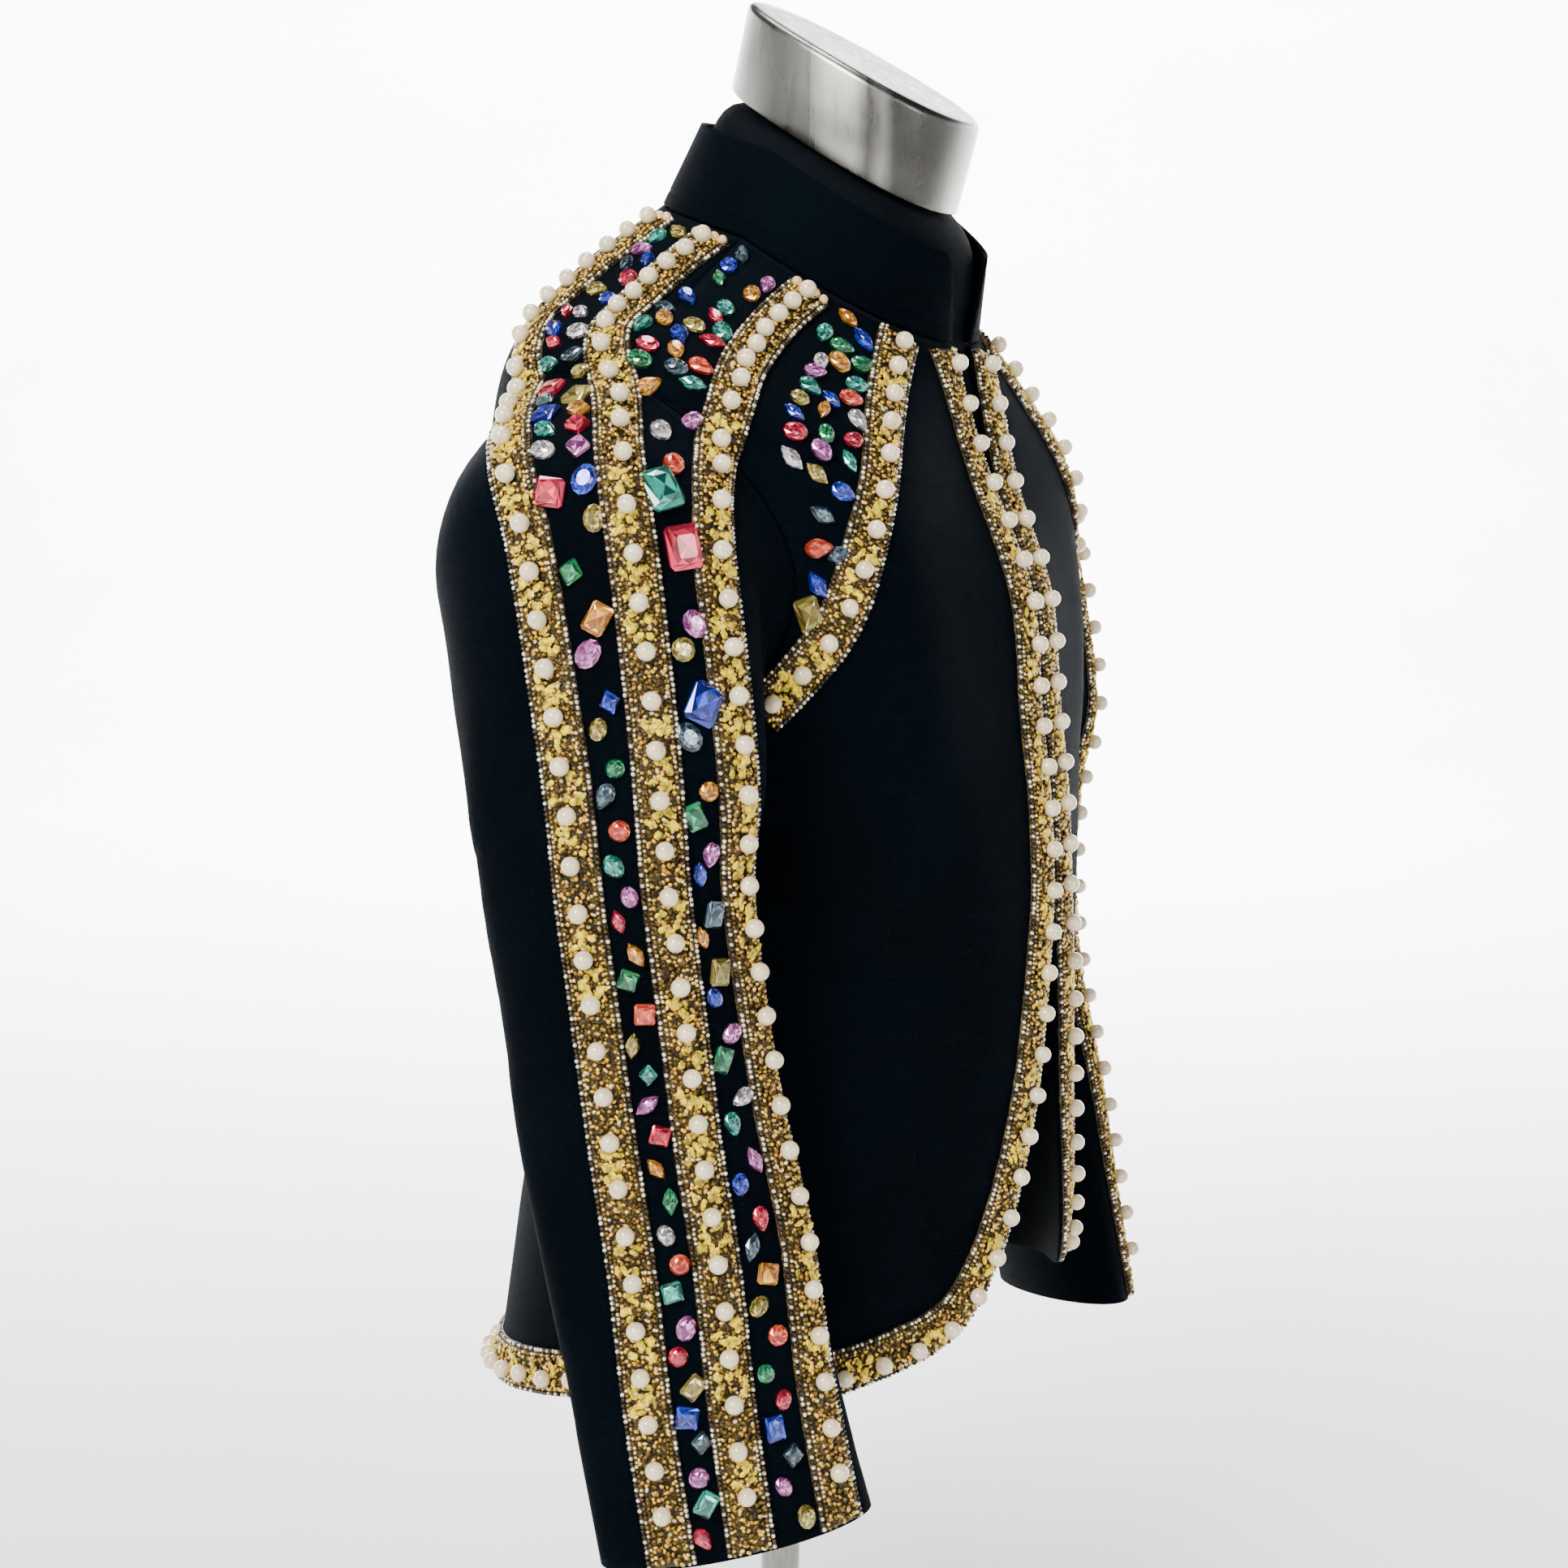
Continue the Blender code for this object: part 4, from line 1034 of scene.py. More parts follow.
def cloth_trees(sizes):
    """Search trees of the body alone, and of the right side with its sleeve."""
    front, back, sleeve = front_grid(sizes), back_grid(sizes), sleeve_grid(sizes)
    left = (mirror(front[0]), mirror(front[1]))
    body = outer_tree([(*front, False), (*back, False), (*left, False)])
    arm = outer_tree([(*front, False), (*back, False), (*sleeve, True)])
    return body, arm


def nearest(tree, point):
    place, _, _, _ = tree.find_nearest(Vector(point))
    return np.array(place)


def path_length(points):
    """The distance along a path at each of its points."""
    return np.concatenate([[0.0], np.cumsum(np.linalg.norm(np.diff(points, axis=0), axis=1))])


def even_path(points, count):
    length = path_length(points)
    wanted = np.linspace(0, length[-1], count + 1)
    return np.stack([np.interp(wanted, length, points[:, k]) for k in range(3)], axis=1)


def through(stations, surface, steps=12):
    """Surface points on a smooth line through some stations of two parameters."""
    stations = np.array(stations, float)
    stations[:, 0] = np.degrees(np.unwrap(np.radians(stations[:, 0])))
    places = np.linspace(0, len(stations) - 1, (len(stations) - 1) * steps + 1)
    line = smooth_rows({k: station for k, station in enumerate(stations)}, places)
    return surface(line[:, 0], line[:, 1])


class Strip:
    """A line laid on the cloth, with directions along it, out of the cloth and across."""

    def __init__(self, points, tree, passes=80):
        path = even_path(np.asarray(points), int(path_length(points)[-1] / PATH_STEP))
        for n in range(passes):
            path[1:-1] = (path[:-2] + 2 * path[1:-1] + path[2:]) / 4
            if n % 4 == 3:
                path = np.array([nearest(tree, p) for p in path])
        self.tree = tree
        self.path = even_path(path, len(path) - 1)
        self.length = path_length(self.path)
        self.total = float(self.length[-1])
        ahead = unit(np.gradient(self.path, axis=0))
        out = np.array([tuple(tree.find_nearest(Vector(p))[1]) for p in self.path])
        for _ in range(14):
            out[1:-1] = unit(out[:-2] + out[1:-1] + out[2:])
        self.ahead = ahead
        self.out = unit(out - ahead * np.sum(out * ahead, axis=1, keepdims=True))
        self.across = np.cross(self.ahead, self.out)

    def frame_at(self, distance):
        """Points of the line and its three directions at some distances."""
        values = []
        for table in (self.path, self.ahead, self.across, self.out):
            columns = [np.interp(distance, self.length, table[:, k]) for k in range(3)]
            values.append(np.stack(columns, axis=-1))
        return values[0], unit(values[1]), unit(values[2]), unit(values[3])

    def lay(self, distance, aside, height):
        """Places over the cloth, and the directions there as rows: along, across and out."""
        distance, aside, height = np.broadcast_arrays(*np.atleast_1d(distance, aside, height))
        start, ahead, across, out = self.frame_at(distance)
        places = start + across * aside[:, None]
        feet = np.array([nearest(self.tree, p) for p in places])
        gap = np.sum((places - feet) * out, axis=1)
        feet = places - out * gap[:, None]
        return feet + out * height[:, None], np.stack([ahead, across, out], axis=1)


def edge_strip_points():
    """The front band's line, down the right front's edge and round the cutaway to the side."""
    edge_levels, edge_turns = edge_line(121)
    above = np.linspace(NECKLINE_LEVEL - 0.06, EDGE_LEVELS[-1], 121)[:-1]
    levels = np.concatenate([above, edge_levels[120::-1], np.zeros(13)])
    turns = -np.interp(levels, edge_levels, edge_turns)
    turns[-13:] = np.linspace(-EDGE_TURNS[0], -89.6, 14)[1:]
    return set_back(turns, levels)


def hem_strip_points():
    """The back band's line along the hem, from the right side seam to the left."""
    turns = np.linspace(-90.4, -269.6, 90)
    return set_back(np.where(turns < -180, turns + 360, turns), np.zeros(90))


def set_back(turns, levels):
    """Points over the body, moved away from the cloth's edge by the band's set-back."""
    points = body_point(turns, levels)
    beside = np.where(np.abs(turns) < 1.0, -1.0, turns)
    out = surface_normal(body_point, beside, np.maximum(levels, 0.03))
    return points + np.cross(unit(np.gradient(points, axis=0)), out) * BAND_SETBACK


def shoulder_points(name):
    on_body, on_sleeve = SHOULDER_PATHS[name]
    return np.concatenate([through(on_body, body_point), through(on_sleeve, sleeve_point)])


GROUND, GOLD, BRONZE, PALE, FOIL, CRYSTAL, SHADOW, PEARL, GOLD_PEARL = range(9)
CROWN_EDGE = 0.0008
CROWN_HEIGHT = 0.0023


def crown(aside):
    """Height of a band's padded ground at a distance from its middle."""
    share = np.clip(np.abs(aside) / BAND_HALF_WIDTH, 0.0, 1.0)
    return CROWN_EDGE + CROWN_HEIGHT * (1.0 - share**3.5)


def band_ground(batch, strip, random):
    """The band's padded strip: a crowned, uneven top on a flat underside."""
    rows = int(strip.total / PATH_STEP) + 1
    distance = np.linspace(0, strip.total, rows)
    aside = BAND_HALF_WIDTH * np.array([-1.0, -0.93, -0.72, -0.42, -0.14, 0.14, 0.42, 0.72, 0.93, 1.0])
    d, a = np.meshgrid(distance, aside, indexing="ij")
    ends = np.clip(np.minimum(d, strip.total - d) / BAND_TAPER, 0.25, 1.0)
    uneven = random.normal(0.0, BAND_UNEVEN, d.shape) * (np.abs(a) < 0.010)
    top = strip.lay(d.ravel(), a.ravel(), (crown(a) * ends + uneven).ravel())[0].reshape(*d.shape, 3)
    foot = strip.lay(d.ravel(), a.ravel(), np.full(d.size, BAND_FOOT))[0].reshape(*d.shape, 3)
    points, faces = shell(top, foot)
    batch.add(points, faces, GROUND)


def jumbled(axes, random):
    """Directions turned at random about the one out of the cloth."""
    angle = random.uniform(0, 2 * math.pi, len(axes))
    c, s = np.cos(angle)[:, None], np.sin(angle)[:, None]
    ahead, across = axes[:, 0] * c + axes[:, 1] * s, axes[:, 1] * c - axes[:, 0] * s
    return np.stack([ahead, across, axes[:, 2]], axis=1)


def pearl_stations(strip, kind, spacing):
    """Distances of the pearls down a band, closer together beside the neck."""
    pitch, neck_pitch, neck_length, _ = (0.001 * value for value in BAND_PEARLS[kind])
    stations, at = [], 0.45 * neck_pitch * spacing
    while at < strip.total - 0.35 * pitch * spacing:
        stations.append(at)
        share = min(max((at - neck_length) / 0.030 + 0.5, 0.0), 1.0)
        at += (neck_pitch + (pitch - neck_pitch) * share) * spacing
    return np.array(stations)


def band_batch(kind, strip, sizes, random, shift=0.0, neck_end=True):
    """One beaded band: ground, two borders, gold filling, foil and pearls."""
    batch, bead, pearl = Batch(), bead_shape(), pearl_shape()
    band_ground(batch, strip, random)
    pearl_at = pearl_stations(strip, kind, sizes.pearl_spacing)
    pearl_count = len(pearl_at)
    foil_share, neck_length = BAND_PEARLS[kind][3], 0.001 * BAND_PEARLS[kind][2]

    # Borders: a row of crystal beads at each edge and a row of fine gold beads beside it
    rows = (
        (CHAIN_PLACE, sizes.chain_bead, 1.0, (CRYSTAL, SHADOW)),
        (FINE_PLACE, FINE_BEAD, 1.05, (PALE, BRONZE)),
    )
    for side in (-1, 1):
        for aside, diameter, spread, slots in rows:
            count = int(strip.total / (diameter * spread))
            at = (np.arange(count) + 0.5) * strip.total / count
            off = side * aside + random.normal(0, BORDER_WANDER, count)
            places, axes = strip.lay(at, off, crown(off) + diameter * 0.18)
            size = diameter / 2 * random.uniform(0.92, 1.10, (count, 3))
            dark = (np.arange(count) % 2 == 0) ^ (random.random(count) < 0.22)
            batch.scatter(bead, places, jumbled(axes, random), size, np.where(dark, slots[1], slots[0]))

    # Filling: seed beads and short bullion, uneven in size, kept off the pearls
    step = sizes.seed_bead
    down, over = np.arange(step / 2, strip.total, step), np.arange(-FILLING_REACH, FILLING_REACH, step)
    along, aside = np.meshgrid(down, over, indexing="ij")
    along = along.ravel() + random.uniform(-0.45, 0.45, along.size) * step
    aside = aside.ravel() + random.uniform(-0.45, 0.45, aside.size) * step
    apart = np.hypot(along[:, None] - pearl_at, aside[:, None] - shift)
    between = (along > END_MARGIN) & (along < strip.total - END_MARGIN)
    keep = (apart.min(axis=1) > sizes.pearl * FILLING_NEAR) & between
    along, aside = along[keep], aside[keep]
    count = len(along)
    long = random.uniform(0.75, 1.55, count) * step * 0.5
    wide = random.uniform(0.60, 0.85, count) * step * 0.6
    size = np.stack([long, wide, random.uniform(0.5, 0.9, count) * step * 0.55], 1)
    places, axes = strip.lay(along, aside, crown(aside) + random.uniform(0.0001, 0.0009, count))
    slots = random.choice([GOLD, BRONZE, PALE], count, p=[0.55, 0.36, 0.09])
    batch.scatter(bead, places, jumbled(axes, random), size, slots)

    # Foil: a cluster of crumpled leaves in most of the gaps between pearls
    for first, second in zip(pearl_at[:-1], pearl_at[1:]):
        share = foil_share * (0.55 if first > FOIL_LENGTH else 1.0)
        if random.random() > share or first < neck_length - 0.012:
            continue
        count = int(random.integers(7, 11))
        at = (first + second) / 2 + random.uniform(-0.34, 0.34, count) * (second - first)
        off = random.uniform(-FOIL_REACH, FOIL_REACH, count)
        apart = np.hypot(at[:, None] - pearl_at, off[:, None] - shift).min(axis=1)
        clear = apart > sizes.pearl * FOIL_NEAR
        at, off = at[clear], off[clear]
        count = len(at)
        places, axes = strip.lay(at, off, crown(off) + random.uniform(0.0006, 0.0014, count))
        long, wide = random.uniform(0.0021, 0.0038, count), random.uniform(0.0014, 0.0025, count)
        size = np.stack([long, wide, random.uniform(0.0006, 0.0011, count)], 1)
        batch.scatter(bead, places, jumbled(axes, random), size, np.full(count, FOIL), smooth=False)

    # Pearls
    radius = sizes.pearl / 2
    off = np.full(pearl_count, shift) + random.normal(0, PEARL_WANDER, pearl_count)
    places, axes = strip.lay(pearl_at, off, crown(off) + radius * PEARL_SEAT)
    size = radius * random.uniform(0.96, 1.03, (pearl_count, 3))
    batch.scatter(pearl, places, jumbled(axes, random), size, np.full(pearl_count, PEARL))
    if neck_end:
        off, radii = np.array(END_PEARLS).T
        places, axes = strip.lay(END_PEARL_STATION, off, END_PEARL_HEIGHT)
        size = radii[:, None] * np.ones((1, 3))
        batch.scatter(pearl_shape(12, 7), places, axes, size, np.full(len(off), GOLD_PEARL))
    return batch


def band_materials():
    """The materials of every band, in the order of their slots."""
    names = ("gold_thread_ground", "gold_beads", "bronze_beads", "pale_gold_beads", "yellow_foil",
             "crystal_beads", "shadowed_beads", "pearls", "gold_pearls")
    if all(bpy.data.materials.get(name) for name in names):
        return [bpy.data.materials[name] for name in names]
    colours = bpy.context.scene.jacket_colours
    gold, pearl = tuple(colours.gold), tuple(colours.pearl)
    return [
        ground_material(gold),
        bead_look(names[1], tone(gold, 0.30), tone(gold, 1.35), 0.30, 0.80).material,
        bead_look(names[2], tone(gold, 0.04), tone(gold, 0.34), 0.34, 0.70).material,
        bead_look(names[3], (0.42, 0.28, 0.09), (0.90, 0.74, 0.40), 0.24, 0.75).material,
        foil_material(tuple(colours.foil)),
        bead_look(
            names[5], (0.44, 0.37, 0.24), (0.96, 0.90, 0.74), 0.14, 0.70, 420.0, Coat_Weight=0.5
        ).material,
        bead_look(names[6], (0.008, 0.006, 0.004), (0.09, 0.06, 0.03), 0.24, 0.60, 420.0).material,
        pearl_material(names[7], pearl),
        pearl_material(names[8], (pearl[0] * 0.98, pearl[1] * 0.80, pearl[2] * 0.46)),
    ]


def add_band(name, batch, mirrored=False):
    """A band's object, for the right side, or mirrored for the left."""
    if mirrored:
        batch.mirror()
    piece = batch.build(name + "_beading", band_materials())
    return ride(piece, name, slot="gold_beading")


class JACKET_OT_edge_bands(bpy.types.Operator):
    """Makes the beaded bands of the front edges, the hem and the chest"""

    bl_idname = "jacket.edge_bands"
    bl_label = "Edge, hem and chest bands"

    def execute(self, context):
        sizes = context.scene.jacket_sizes
        body, _ = cloth_trees(sizes)
        chest = Strip(through(CHEST_PATH, body_point), body)
        edge = Strip(edge_strip_points(), body, 12)
        hem = Strip(hem_strip_points(), body, 12)
        for k, (side, mirrored) in enumerate((("right", False), ("left", True))):
            random = np.random.default_rng(sizes.seed + 10 + k)
            batch = band_batch("edge", edge, sizes, random, -PEARL_SHIFT, neck_end=False)
            add_band("edge_band_" + side, batch, mirrored)
            batch = band_batch("chest", chest, sizes, random, neck_end=False)
            add_band("chest_band_" + side, batch, mirrored)
        random = np.random.default_rng(sizes.seed + 12)
        add_band("hem_band", band_batch("hem", hem, sizes, random, -PEARL_SHIFT, neck_end=False))
        return {"FINISHED"}


class JACKET_OT_shoulder_bands(bpy.types.Operator):
    """Makes the three beaded bands from the neck down each sleeve"""

    bl_idname = "jacket.shoulder_bands"
    bl_label = "Shoulder and sleeve bands"

    def execute(self, context):
        sizes = context.scene.jacket_sizes
        _, arm = cloth_trees(sizes)
        for n, name in enumerate(SHOULDER_PATHS):
            strip = Strip(shoulder_points(name), arm)
            for k, (side, mirrored) in enumerate((("right", False), ("left", True))):
                random = np.random.default_rng(sizes.seed + 20 + 2 * n + k)
                add_band(f"{name}_band_{side}", band_batch(name, strip, sizes, random), mirrored)
        return {"FINISHED"}


# Stones


def stone_outline(kind, length, width):
    """A stone's outline as points of a plan view, counterclockwise."""
    if kind in ("oval", "round", "pear", "marquise"):
        angle = np.linspace(0, 2 * math.pi, 13)[:-1]
        x, y = np.cos(angle), np.sin(angle)
        if kind == "pear":
            y = y * (1.0 - 0.38 * np.clip(x, 0, 1))
            x = np.where(x > 0, x * 1.12, x * 0.9)
        if kind == "marquise":
            y = np.sign(y) * (1 - np.abs(x) ** 1.6) * 1.0
        return np.stack([x * length / 2, y * width / 2], -1)
    if kind == "kite":
        corners = np.array([(1.0, 0.0), (0.0, 1.0), (-1.0, 0.0), (0.0, -1.0)])
    else:
        corners = np.array([(1.0, 1.0), (-1.0, 1.0), (-1.0, -1.0), (1.0, -1.0)])
    points = []
    for k in range(4):
        here, before, after = corners[k], corners[k - 1], corners[(k + 1) % 4]
        points += [here + (before - here) * 0.10, here + (after - here) * 0.10]
    return np.array(points) * [length / 2, width / 2]


def stone_shape(outline, height, random):
    """A cut stone on its flat back: girdle, crown facets and table, and a painted reflection for each facet,
    from dark to bright.
    """
    count = len(outline)
    turned = (outline + np.roll(outline, -1, axis=0)) / 2
    levels = ((outline, 0.0, 1.0), (outline, 0.40, 1.0), (turned, 0.82, 0.80), (outline, 1.0, 0.52))
    rings = [np.column_stack([ring * scale, np.full(count, z * height)]) for ring, z, scale in levels]
    points, faces = stack(np.array(rings))
    # Painted reflections: a random brightness for each facet, standing for the light the cut stone throws
    # back.
    painted_facet_reflections = random.random(len(faces)) ** 2.0
    return points, faces, painted_facet_reflections


def stone_places(left, right, half_left, half_right, two_across, three_across, sizes, random, end=1.0):
    """Stations between two strips: rows of one to three stones, small and close beside the neck."""
    places, s = [], 0.006
    total = min(left.total, right.total) * end
    turn = 1
    while s < total:
        share = s / total * end
        a = left.frame_at(np.array([share * left.total]))[0][0]
        b = right.frame_at(np.array([share * right.total]))[0][0]
        gap = float(np.linalg.norm(b - a))
        room = gap - half_left - half_right
        across = (b - a) / gap
        close = share * left.total < STONE_NECK_LENGTH
        grow = STONE_GROWTH if share * left.total < STONE_LARGE_LENGTH else 1.0
        if room > three_across * (0.8 if close else 1.0):
            spots = np.array([-0.34, 0.0, 0.34]) * room
        elif room > two_across * (0.6 if close else 1.0):
            spots = np.array([-0.25, 0.25]) * room
        else:
            spots = np.array([turn * 0.16]) * max(room, 0.0)
            turn = -turn
        centre = a + across * (half_left + room / 2)
        for n, spot in enumerate(spots):
            stagger = (n % 2) * 0.50 * sizes.stone_pitch if len(spots) > 1 else 0.0
            forward = left.frame_at(np.array([share * left.total]))[1][0]
            jitter = random.normal(0, 0.0022 if close else 0.0010, 2)
            place = centre + across * (spot + jitter[0]) + forward * (stagger + jitter[1])
            places.append((place, forward, room / len(spots), close, grow))
        pace = 0.78 if close else grow * (0.94 if len(spots) > 1 else 1.0)
        s += sizes.stone_pitch * random.uniform(0.92, 1.08) * pace
    return places


def stones_batch(strips, tree, sizes, random):
    """All the stones of one side."""
    batch, taken = Batch(), []
    kinds = [row[0] for row in STONES]
    kind_share = np.array([row[3] for row in STONES], float)
    colour_share = np.array([row[2] for row in STONE_COLOURS.values()], float)
    regions = (
        ("rear", "middle", BAND_HALF_WIDTH, BAND_HALF_WIDTH, 0.035, 0.050, 0.995),
        ("middle", "front", BAND_HALF_WIDTH, BAND_HALF_WIDTH, 0.0345, 0.052, 0.995),
        ("yoke", "chest", 0.003, BAND_HALF_WIDTH, 0.020, 0.034, 0.90),
    )
    last = ()
    for left, right, *spacing, end in regions:
        for place, forward, room, close, grow in stone_places(
            strips[left], strips[right], *spacing, sizes, random, end
        ):
            foot, normal, _, _ = tree.find_nearest(Vector(place))
            foot, normal = np.array(foot), np.array(normal)
            kind = kinds[random.choice(len(kinds), p=kind_share / kind_share.sum())]
            kind = ("oval", "marquise", "pear")[int(random.integers(0, 3))] if close else kind
            colour = int(random.choice(len(colour_share), p=colour_share / colour_share.sum()))
            while colour in last:
                colour = (colour + 3) % len(colour_share)
            last = (colour,) + last[:2]
            _, length, width, _ = STONES[kinds.index(kind)]
            if close:
                scale = random.uniform(0.80, 1.05)
            else:
                scale = random.uniform(0.80, 0.98) * grow * min(1.0, room / STONE_FULL_ROOM)
            if kind == "large_square" and room < STONE_SQUARE_ROOM:
                kind, length, width = "rectangle", 14.8, 10.8
            length, width = length * scale * 0.001, width * scale * 0.001
            reach = (length + width) / 4
            if any(np.linalg.norm(foot - other) < STONE_CLEARANCE * (reach + far) for other, far in taken):
                continue
            taken.append((foot, reach))
            outline = stone_outline(kind.replace("large_", ""), length, width)
            points, faces, painted_facet_reflections = stone_shape(outline, 0.0022 + 0.18 * min(length, width), random)
            flat = unit(forward - normal * float(forward @ normal))
            angle = random.normal(1.1, 0.5) if close else random.normal(0, 0.45)
            side = np.cross(normal, flat)
            ahead = flat * math.cos(angle) + side * math.sin(angle)
            axes = np.stack([ahead, np.cross(normal, ahead), normal])
            batch.add(points @ axes + foot + normal * 0.0001, faces, colour, False, painted_facet_reflections)
    return batch


class JACKET_OT_stones(bpy.types.Operator):
    """Scatters cut stones between the bands of the sleeves, shoulders and yokes"""

    bl_idname = "jacket.stones"
    bl_label = "Stones"

    def execute(self, context):
        sizes = context.scene.jacket_sizes
        body, arm = cloth_trees(sizes)
        strips = {name: Strip(shoulder_points(name), arm) for name in SHOULDER_PATHS}
        strips["chest"] = Strip(through(CHEST_PATH, body_point), body)
        strips["yoke"] = Strip(through(YOKE_PATH, body_point), body)
        materials = [stone_material(name, deep, light) for name, (deep, light, _) in STONE_COLOURS.items()]
        for k, side in enumerate(("right", "left")):
            random = np.random.default_rng(sizes.seed + 40 + k)
            batch = stones_batch(strips, arm, sizes, random)
            if side == "left":
                batch.mirror()
            ride(batch.build("stones_" + side, materials, sparkle=True), slot="gold_beading")
        return {"FINISHED"}


# Dress form


def smoothed_copy(node, name, material, levels=2):
    """A finer copy of a solid, its triangles joined to quads and subdivided."""
    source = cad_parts[node]
    mesh = source.data.copy()
    mesh.name = name
    piece = bpy.data.objects.new(name, mesh)
    bpy.context.scene.collection.objects.link(piece)
    shape = bmesh.new()
    shape.from_mesh(mesh)
    bmesh.ops.remove_doubles(shape, verts=shape.verts, dist=1e-5)
    bmesh.ops.join_triangles(shape, faces=shape.faces, angle_face_threshold=0.6, angle_shape_threshold=1.2)
    shape.to_mesh(mesh)
    shape.free()
    mesh.materials.clear()
    mesh.materials.append(material)
    for polygon in mesh.polygons:
        polygon.use_smooth = True
    finer = piece.modifiers.new("finer", "SUBSURF")
    finer.levels = finer.render_levels = levels
    return piece


def turned_rings(profile, sides):
    """Rings of a turned piece on the stand's axis from radii and heights."""
    angle = np.linspace(0, 2 * math.pi, sides + 1)[:-1]
    rings = [[(r * math.cos(a), r * math.sin(a), z) for a in angle] for z, r in profile]
    return np.array(rings)


POLE_PROFILE = (
    (0.0144, 0.0190), (0.0150, 0.0200), (0.0192, 0.0200), (0.0200, 0.0194), (0.0216, 0.0150),
    (0.0240, 0.0118), (0.0256, 0.0110), (0.3104, 0.0110), (0.3118, 0.0122), (0.3140, 0.0244),
    (0.3148, 0.0256), (0.3160, 0.0260), (0.3208, 0.0260), (0.3216, 0.0250),
)
BASE_PROFILE = (
    (0.0000, 0.1460), (0.0010, 0.1492), (0.0024, 0.1500), (0.0096, 0.1500), (0.0112, 0.1494),
    (0.0126, 0.1476), (0.0136, 0.1446), (0.0140, 0.1400), (0.0140, 0.0300),
)


class JACKET_OT_form(bpy.types.Operator):
    """Makes the dress form: covered torso and neck, metal cap, pole and base"""

    bl_idname = "jacket.form"
    bl_label = "Dress form"

    def execute(self, context):
        colours = context.scene.jacket_colours
        steel = tuple(colours.steel)
        cover = cloth_material(tuple(colours.cover), "form_jersey", seams=False)
        torso = smoothed_copy("form_torso", "form_torso_cover", cover)
        ride(torso, "form_torso", slot="form_cover")

        turns = np.linspace(-180, 180, 97)[:-1]
        bottom, top = ring_point(CAP_ROWS, turns, 0.0), ring_point(CAP_ROWS, turns, 1.0)
        axis = unit(top.mean(axis=0) - bottom.mean(axis=0))
        inward = unit(top.mean(axis=0) - top)
        height = float(np.linalg.norm(top.mean(axis=0) - bottom.mean(axis=0)))
        rings = [bottom + axis * 0.0004 + inward * 0.0006, bottom + axis * 0.0012]
        rings.append(bottom + (top - bottom) * 0.5)
        for k in range(7):
            angle = math.pi / 2 * k / 6
            rise = 1 - CAP_EDGE / height * (1 - math.sin(angle))
            rings.append(bottom + (top - bottom) * rise + inward * CAP_EDGE * (1 - math.cos(angle)))
        for share in (0.12, 0.4, 0.75):
            rings.append(rings[9] + (top.mean(axis=0) - rings[9]) * share)
        batch = Batch()
        batch.add(*stack(np.array(rings)))
        ride(batch.build("form_neck_cap", [cap_material(steel)]), "form_cap", slot="form_steel")

        stand_metal = metal_material("brushed_stand", steel, 0.26, (8.0, 8.0, 1.0), 60.0)
        for name, node, profile, sides in (
            ("form_stand_pole", "form_pole", POLE_PROFILE, 48),
            ("form_stand_base", "form_base", BASE_PROFILE, 128),
        ):
            batch = Batch()
            batch.add(*stack(turned_rings(profile, sides)))
            ride(batch.build(name, [stand_metal]), node, slot="form_steel")
        return {"FINISHED"}


# Stage


def area_light(name, place, target, power, size, colour):
    lamp = bpy.data.lights.new(name, "AREA")
    lamp.energy, lamp.size, lamp.color = power, size, colour
    holder = bpy.data.objects.new(name, lamp)
    bpy.context.scene.collection.objects.link(holder)
    holder.location = place
    aim = Vector(target) - Vector(place)
    holder.rotation_euler = aim.to_track_quat("-Z", "Y").to_euler()


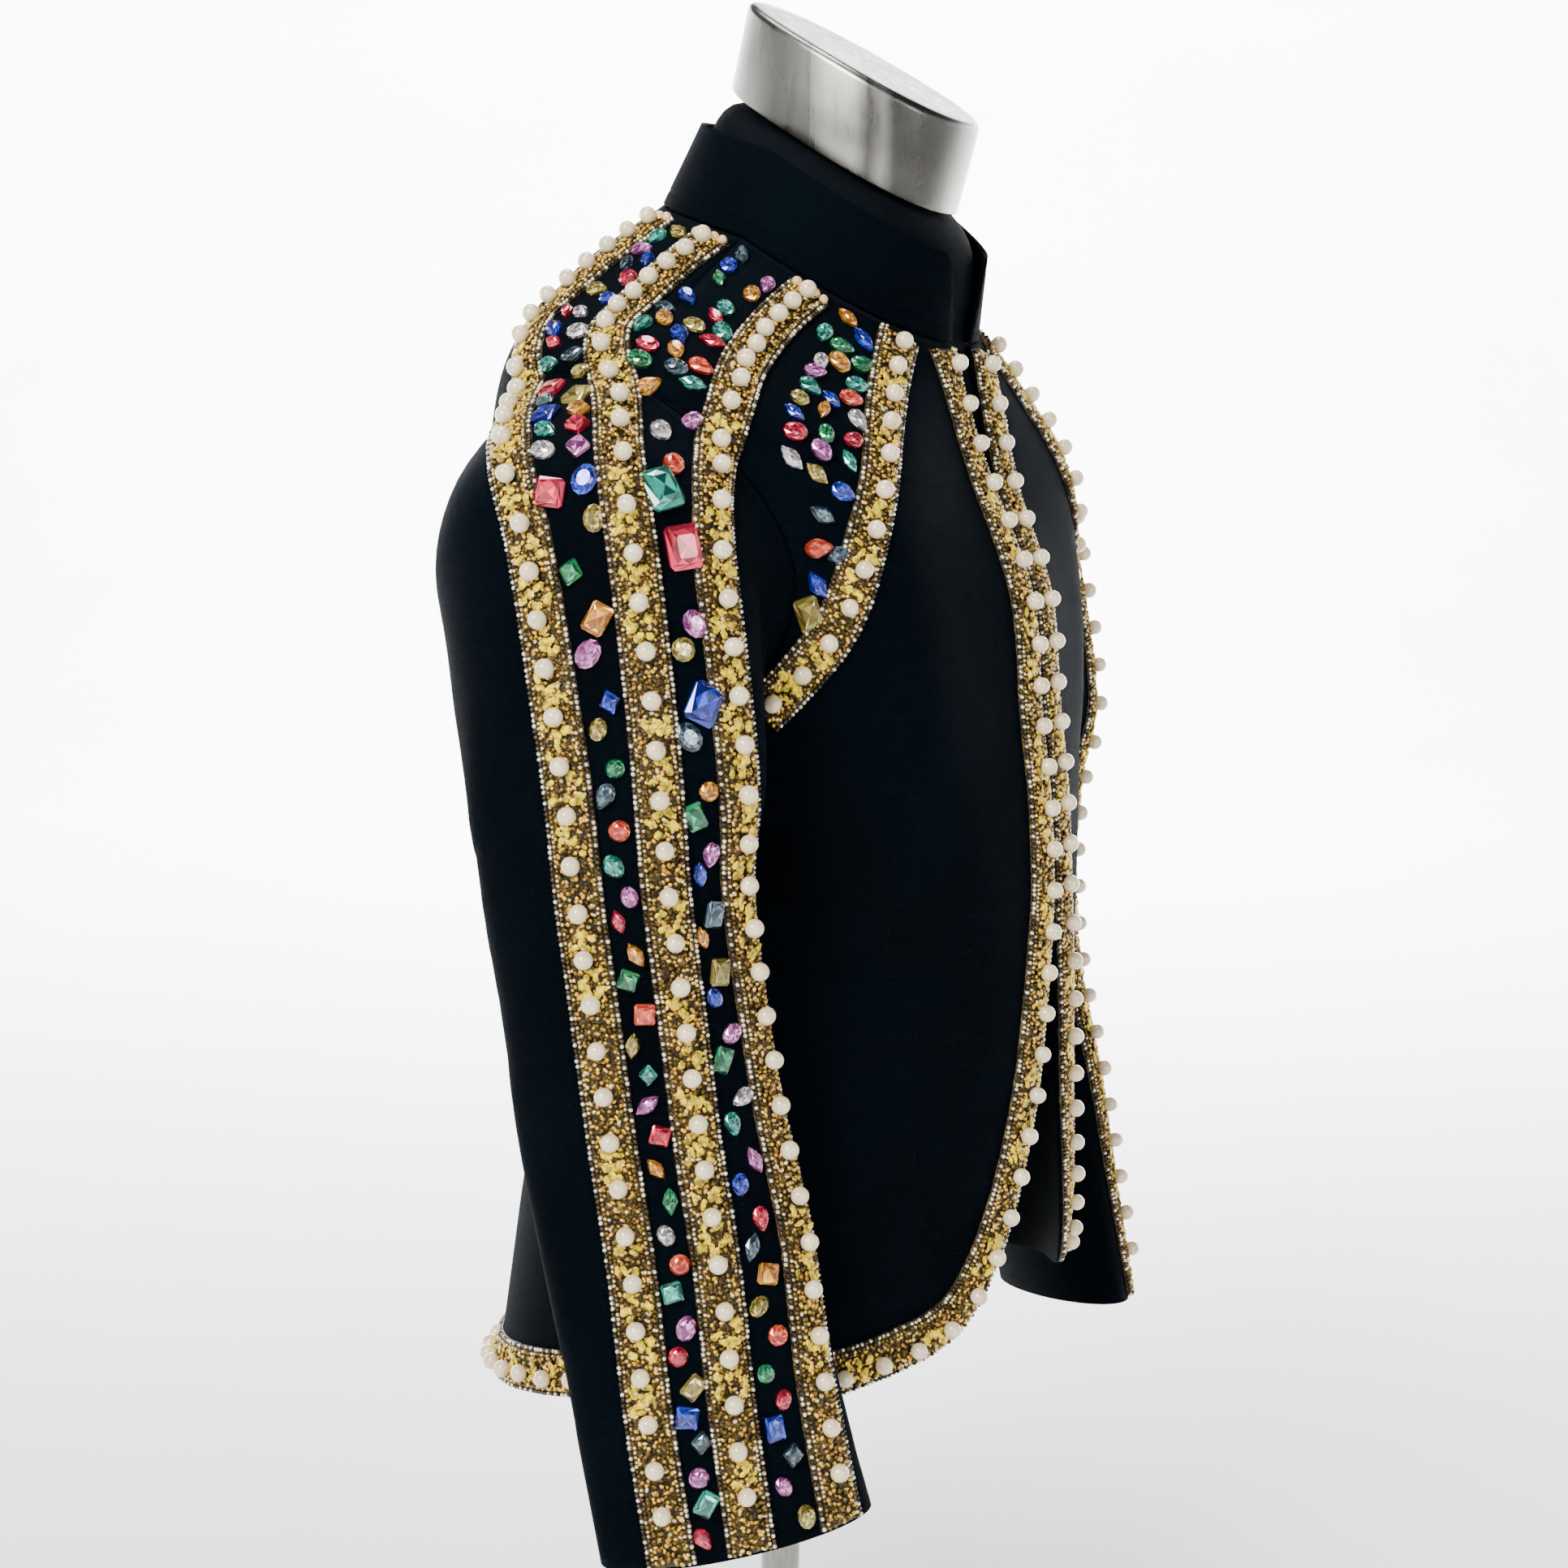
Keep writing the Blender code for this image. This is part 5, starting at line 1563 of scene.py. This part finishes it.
class JACKET_OT_stage(bpy.types.Operator):
    """Sets the pale floor, the soft studio light and the camera"""

    bl_idname = "jacket.stage"
    bl_label = "Stage"

    def execute(self, context):
        profile = [(0.0, 0.01)] + [(0.0, r) for r in (0.5, 1.5, 3.0, FLOOR_RADIUS)]
        for a in np.linspace(0.1, math.pi / 2, 12):
            profile.append((FLOOR_CURVE * (1 - math.cos(a)), FLOOR_RADIUS + FLOOR_CURVE * math.sin(a)))
        profile += [(3.4, 6.1)]
        rings = turned_rings(profile, 96)
        batch = Batch()
        batch.add(rings.reshape(-1, 3), grid_faces(len(rings), 96, True))
        pale = Look("pale_floor", 0.9)
        pale.paint(pale.noise(pale.place(), 3.0, 3.0), [(0.3, (0.86,) * 3), (0.7, (0.90,) * 3)])
        floor = batch.build("floor", [pale.material])
        floor.location.z = -0.0005

        world = bpy.data.worlds.new("studio")
        context.scene.world = world
        world.use_nodes = True
        sky = world.node_tree.nodes["Background"]
        sky.inputs["Color"].default_value = (1.0, 1.0, 1.0, 1.0)
        sky.inputs["Strength"].default_value = 0.16
        area_light("key", (-2.5, 0.1, 2.2), (0, 0, 0.6), 150.0, 1.1, (1.0, 0.98, 0.95))
        area_light("fill", (-1.3, -2.4, 1.3), (0, 0, 0.6), 26.0, 0.9, (0.97, 0.98, 1.0))
        area_light("top", (0.2, 0.3, 2.9), (0, 0, 0.6), 48.0, 1.0, (1.0, 1.0, 1.0))
        area_light("backdrop", (2.2, 1.2, 3.6), (5.2, 2.8, 1.2), 2100.0, 2.6, (1.0, 1.0, 1.0))

        azimuth, lift, roll = (math.radians(v) for v in (CAMERA_AZIMUTH, CAMERA_HEIGHT_ANGLE, CAMERA_ROLL))
        level = math.cos(lift)
        look = Vector((math.sin(azimuth) * level, math.cos(azimuth) * level, -math.sin(lift)))
        right = Vector((math.cos(azimuth), -math.sin(azimuth), 0.0))
        up = right.cross(look)
        right, up = (
            right * math.cos(roll) + up * math.sin(roll),
            up * math.cos(roll) - right * math.sin(roll),
        )
        camera = bpy.data.objects.new("camera", bpy.data.cameras.new("camera"))
        camera.data.lens, camera.data.sensor_width = CAMERA_LENS, 36.0
        context.scene.collection.objects.link(camera)
        turned = Matrix((right, up, -look)).transposed().to_4x4()
        camera.matrix_world = Matrix.Translation(Vector(CAMERA_TARGET) - look * CAMERA_DISTANCE) @ turned
        context.scene.camera = camera
        return {"FINISHED"}


class JACKET_PT_looks(bpy.types.Panel):
    """Lists the jacket's sizes, colours and operators"""

    bl_idname = "JACKET_PT_looks"
    bl_label = "Beaded jacket"
    bl_space_type = "VIEW_3D"
    bl_region_type = "UI"
    bl_category = "Jacket"

    def draw(self, context):
        for settings in (context.scene.jacket_sizes, context.scene.jacket_colours):
            box = self.layout.box()
            for name in settings.__annotations__:
                box.prop(settings, name)
        for operator in OPERATORS:
            self.layout.operator(operator.bl_idname)


OPERATORS = (
    JACKET_OT_body,
    JACKET_OT_sleeves,
    JACKET_OT_collar,
    JACKET_OT_edge_bands,
    JACKET_OT_shoulder_bands,
    JACKET_OT_stones,
    JACKET_OT_form,
    JACKET_OT_stage,
)
CLASSES = (JacketSizes, JacketColours, *OPERATORS, JACKET_PT_looks)


def register():
    for cls in CLASSES:
        bpy.utils.register_class(cls)
    bpy.types.Scene.jacket_sizes = PointerProperty(type=JacketSizes)
    bpy.types.Scene.jacket_colours = PointerProperty(type=JacketColours)


def unregister():
    del bpy.types.Scene.jacket_sizes
    del bpy.types.Scene.jacket_colours
    for cls in reversed(CLASSES):
        bpy.utils.unregister_class(cls)


WORN_PIECES = {
    "front_right": ("edge_band_right", "chest_band_right"),
    "front_left": ("edge_band_left", "chest_band_left"),
    "back": ("hem_band",),
    "sleeve_right": ("rear_band_right", "middle_band_right", "front_band_right"),
    "sleeve_left": ("rear_band_left", "middle_band_left", "front_band_left"),
    "collar": (),
}


def declare_sheets():
    """Reads each cloth piece's flat cut and lists the bands sewn to it, and a sleeve's stones; the lists are
    not used.
    """
    for name, (flat, area) in CLOTH_SHEETS.items():
        with_pieces = [band + "_beading" for band in WORN_PIECES[name]]
        if name.startswith("sleeve"):
            with_pieces.append("stones_" + name.split("_")[1])


def main():
    register()
    for operator in OPERATORS:
        group, name = operator.bl_idname.split(".")
        getattr(getattr(bpy.ops, group), name)()
    declare_sheets()


if __name__ == "__main__":
    main()
